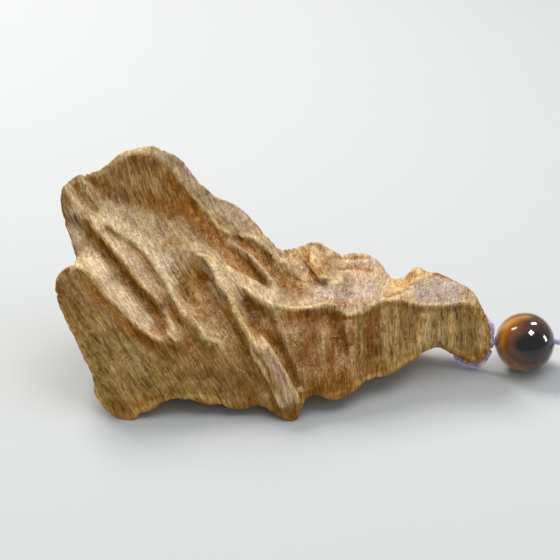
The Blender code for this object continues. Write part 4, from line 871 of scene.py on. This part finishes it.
def wood_material():
    n = Nodes("agarwood", 0.55)
    n.shader.inputs["Specular IOR Level"].default_value = 0.05
    grain = n.attribute("grain").outputs["Vector"]
    hollow_shade = n.attribute("hollow_shade").outputs["Fac"]
    worn_and_highlight = n.attribute("worn_and_highlight").outputs["Fac"]
    tread = n.attribute("tread").outputs["Fac"]
    place = n.add("ShaderNodeTexCoord").outputs["Object"]
    curl = n.noise(place, 420, 2)
    bent = n.add("ShaderNodeVectorMath", operation="MULTIPLY_ADD")
    n.put(bent.inputs[0], curl)
    bent.inputs[1].default_value = (0.9, 0.0, 0.0)
    n.put(bent.inputs[2], grain)
    grain = bent.outputs[0]
    fibre = n.noise(n.scaled(grain, (2.8, 0.36, 0.8)), 1.0, 4, 0.6)
    long = n.noise(n.scaled(grain, (1.5, 0.08, 0.2)), 1.0, 2, 0.5)
    fine = n.noise(n.scaled(grain, (6.0, 1.0, 2.0)), 1.0, 2, 0.6)
    speck = n.noise(place, 2600, 3, 0.65)
    # Fine specks, for the painted glints and the small bumps
    glint_specks = n.noise(n.scaled(place, (1, 1.1, 0.9)), 3400, 3, 0.65)
    blotch = n.noise(place, 380, 5, 0.65)
    colour = n.attribute("paint").outputs["Color"]
    # Painted shade: darker in the hollows
    colour = n.mix(n.step(hollow_shade, 0.0, 1.0, 0.0, 0.2), colour, (0.62, 0.48, 0.3, 1), "MULTIPLY")
    # Paler on the raised edges and bulges: worn pale wood, partly painted highlight
    colour = n.mix(n.step(worn_and_highlight, 0.0, 1.0, 0.0, 0.25), colour, linear(226, 198, 142))
    colour = n.mix(n.step(blotch, 0.44, 0.62, 0.0, 0.55), colour, (0.72, 0.6, 0.44, 1), "MULTIPLY")
    colour = n.mix(n.step(blotch, 0.48, 0.34, 0.0, 0.2), colour, linear(214, 178, 120))
    shade = n.math("MULTIPLY", n.step(fine, 0.38, 0.62, 1.14, 0.8), n.step(fibre, 0.36, 0.64, 1.18, 0.72))
    shade = n.math("MULTIPLY", shade, n.step(long, 0.36, 0.66, 1.08, 0.82))
    grit = n.math("SUBTRACT", n.step(speck, 0.38, 0.62, 1.0, -1.0), 0.1)
    grit = n.math("MULTIPLY", grit, n.step(tread, 0, 1, 0.08, 0.13))
    shade = n.math("MULTIPLY", shade, n.math("ADD", grit, 1.0))
    tint = n.add("ShaderNodeCombineColor")
    for channel, power in zip(tint.inputs, (0.85, 1.0, 1.25)):
        n.put(channel, n.math("POWER", shade, power))
    colour = n.mix(1.0, colour, tint.outputs[0], "MULTIPLY")
    steep = n.step(tread, 0.8, 0.2)
    hair = thin_lines(n, n.scaled(grain, (2.2, 0.09, 0.35)), 0.05)
    hair = n.math("MULTIPLY", n.math("MULTIPLY", hair, steep), n.step(blotch, 0.4, 0.6, 0.35, 0.85))
    colour = n.mix(hair, colour, linear(78, 52, 24))
    pale = thin_lines(n, n.scaled(grain, (1.7, 0.11, 0.5)), 0.035)
    pale = n.math("MULTIPLY", pale, n.step(blotch, 0.6, 0.4, 0.1, 0.4))
    colour = n.mix(pale, colour, linear(214, 182, 120))
    curls = thin_lines(n, n.scaled(place, (1100, 1000, 1300)), 0.04)
    curls = n.math("MULTIPLY", curls, n.step(tread, 0.5, 1.0, 0.0, 0.24))
    colour = n.mix(curls, colour, linear(232, 212, 182))
    coils = thin_lines(n, n.scaled(place, (1000, 1150, 1050)), 0.045)
    coils = n.math("MULTIPLY", coils, n.step(tread, 0.0, 0.8, 0.12, 0.3))
    colour = n.mix(coils, colour, linear(108, 74, 42))
    rich = n.add("ShaderNodeHueSaturation")
    rich.inputs["Saturation"].default_value = 1.03
    rich.inputs["Value"].default_value = 1.13
    n.put(rich.inputs["Color"], colour)
    colour = rich.outputs["Color"]
    # Painted highlights: pale glints dotted over the faces that turn up
    light = n.math("MULTIPLY", n.step(glint_specks, 0.52, 0.62), n.step(tread, 0.3, 1.0, 0.0, 0.06))
    colour = n.mix(light, colour, linear(230, 210, 196))
    n.put(n.shader.inputs["Base Color"], colour)
    n.put(n.shader.inputs["Roughness"], n.step(blotch, 0.3, 0.7, 0.7, 0.85))
    low = n.bump(n.math("ADD", fibre, n.math("MULTIPLY", fine, 0.4)), 0.6, 0.00026)
    n.put(n.shader.inputs["Normal"], n.bump(n.math("ADD", speck, glint_specks), 0.4, 0.00008, low))
    return n.material


def make_wood():
    mesh = fine_mesh(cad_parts["agarwood"])
    mesh.name = "agarwood_block"
    surface = Surface(mesh)
    seen, grain, facing = carve(surface)
    small, large = surface.bulge(6), surface.bulge(60)
    surface.store("grain", grain)
    surface.store("paint", painted(surface, seen, grain, facing))
    # The hollows' painted shade, in the wide and the small hollows
    surface.store("hollow_shade", np.clip(ramp(-large, 0.1, 0.6) + 0.5 * ramp(-small, 0.03, 0.14), 0, 1))
    # Raised edges and bulges: worn pale wood, partly painted highlight
    surface.store("worn_and_highlight", np.clip(0.8 * ramp(small, 0.04, 0.16) + 0.4 * ramp(large, 0.2, 0.8), 0, 1))
    surface.store("tread", ramp(surface.normals[:, 2], 0.2, 0.7))
    obj = new_object("agarwood_block", mesh)
    mesh.materials.clear()
    mesh.materials.append(wood_material())
    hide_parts("agarwood")
    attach(obj, "root")


def bead_material():
    """Polished tiger's eye: a dark eye in grey-brown and gold bands, with silky fibres across them."""
    n = Nodes("tiger eye", 0.15)
    face = n.add("ShaderNodeSeparateXYZ")
    n.put(face.inputs[0], n.attribute("eye").outputs["Vector"])
    across, up, out = face.outputs
    place = n.add("ShaderNodeTexCoord").outputs["Object"]
    silk = n.noise(n.scaled(place, (160, 900, 260)), 1.0, 3, 0.6, 0.4)
    cloud = n.noise(place, 260, 3, 0.55, 0.5)
    wide = n.math("DIVIDE", n.math("SUBTRACT", across, 0.22), 0.66)
    tall = n.math("DIVIDE", n.math("ADD", up, 0.07), 0.44)
    ring = n.math("SQRT", n.math("ADD", n.math("MULTIPLY", wide, wide), n.math("MULTIPLY", tall, tall)))
    ring = n.math("ADD", ring, n.math("MULTIPLY", n.math("SUBTRACT", cloud, 0.5), 0.5))
    ring = n.math("ADD", ring, n.step(out, 0.3, -0.2, 0.0, 0.8))
    low = n.step(n.math("ADD", up, n.math("MULTIPLY", across, 0.5)), -0.45, -0.85)
    rim = n.math("ADD", n.math("MULTIPLY", across, across), n.math("MULTIPLY", up, up))
    gold = n.math("MULTIPLY", n.step(rim, 0.45, 0.8), n.step(across, 0.35, -0.1))
    colour = n.mix(n.step(across, 0.1, -0.5), linear(58, 34, 16), linear(126, 72, 20))
    colour = n.mix(gold, colour, linear(186, 128, 40))
    colour = n.mix(n.step(silk, 0.42, 0.62, 0.0, 0.6), colour, linear(58, 28, 10))
    colour = n.mix(n.math("MULTIPLY", low, 0.4), colour, linear(60, 34, 16))
    colour = n.mix(n.step(ring, 1.6, 1.2, 0.0, 0.6), colour, linear(62, 42, 26))
    colour = n.mix(n.step(silk, 0.5, 0.66, 0.0, 0.35), colour, linear(120, 84, 42))
    colour = n.mix(n.step(ring, 1.25, 0.75), colour, linear(9, 6, 5))
    n.put(n.shader.inputs["Base Color"], colour)
    n.shader.inputs["Specular IOR Level"].default_value = 0.15
    n.shader.inputs["Coat Weight"].default_value = 1.0
    n.shader.inputs["Coat Roughness"].default_value = 0.02
    return n.material


def make_bead():
    """A turned bead with eased bore mouths, made from the bead solid's box."""
    low, high = (Vector(corner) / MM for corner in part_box("bead"))
    centre, radius = (low + high) / 2, (high.z - low.z) / 2
    start = math.asin((BORE_RADIUS + BORE_EASE) / radius)
    mouth = radius * math.cos(start) - BORE_EASE
    profile = [(-radius + BORE_REACH, BORE_RADIUS), (-mouth, BORE_RADIUS)]
    for i in range(BEAD_ARCS + 1):
        angle = start + (math.pi - 2 * start) * i / BEAD_ARCS
        profile.append((-radius * math.cos(angle), radius * math.sin(angle)))
    profile += [(mouth, BORE_RADIUS), (radius - BORE_REACH, BORE_RADIUS)]
    bm = bmesh.new()
    verts = [bm.verts.new(((centre.x + along) * MM, centre.y * MM, (centre.z + out) * MM))
             for along, out in profile]
    edges = [bm.edges.new((a, b)) for a, b in zip(verts, verts[1:] + verts[:1])]
    bmesh.ops.spin(bm, geom=verts + edges, cent=centre * MM, axis=(1, 0, 0), angle=math.tau,
                   steps=BEAD_STEPS, use_merge=True)
    bmesh.ops.remove_doubles(bm, verts=bm.verts, dist=1e-7)
    bmesh.ops.recalc_face_normals(bm, faces=bm.faces)
    mesh = bpy.data.meshes.new("tiger_eye_bead")
    bm.to_mesh(mesh)
    bm.free()
    obj = new_object("tiger_eye_bead", mesh)
    turned = []
    for vert in mesh.vertices:
        out = (vert.co / MM - centre) / radius
        turned += [out.dot(axis) for axis in EYE_AXES]
    mesh.attributes.new("eye", "FLOAT_VECTOR", "POINT").data.foreach_set("vector", turned)
    mesh.materials.append(bead_material())
    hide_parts("bead")
    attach(obj, "root")


def make_cords(lilac):
    tail = [tuple(p) for p in smooth_curve(TAIL_ROUTE, 0.5)]
    route = tail + coil_turns() + COIL_END
    cord, path = braided_cord("free_cord", route)
    route = knot_route(END_KNOT_CENTRE, END_KNOT_HALVES, KNOT_STRAND)
    end, _ = braided_cord("end_knot_braid", route, KNOT_STRAND)
    loop, _ = braided_cord("loop_braid", smooth_curve(LOOP_ROUTE, 0.4))
    route = knot_route(TIP_KNOT_CENTRE, TIP_KNOT_HALVES, KNOT_STRAND)
    knot, _ = braided_cord("tip_knot_braid", route, KNOT_STRAND)
    stem, _ = braided_cord("bead_stem_braid", [TIP_KNOT_CENTRE, STEM_END])
    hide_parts("cord_tail", "cord_coil")
    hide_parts("end_knot")
    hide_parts("cord_loop")
    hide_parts("loop_knot")
    for piece in (cord, end, loop, knot, stem):
        piece.data.materials.append(lilac)
        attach(piece, "root")


make_camera()
make_cords(cord_material())
stage_and_light()
make_wood()
make_bead()

bpy.context.view_layer.update()
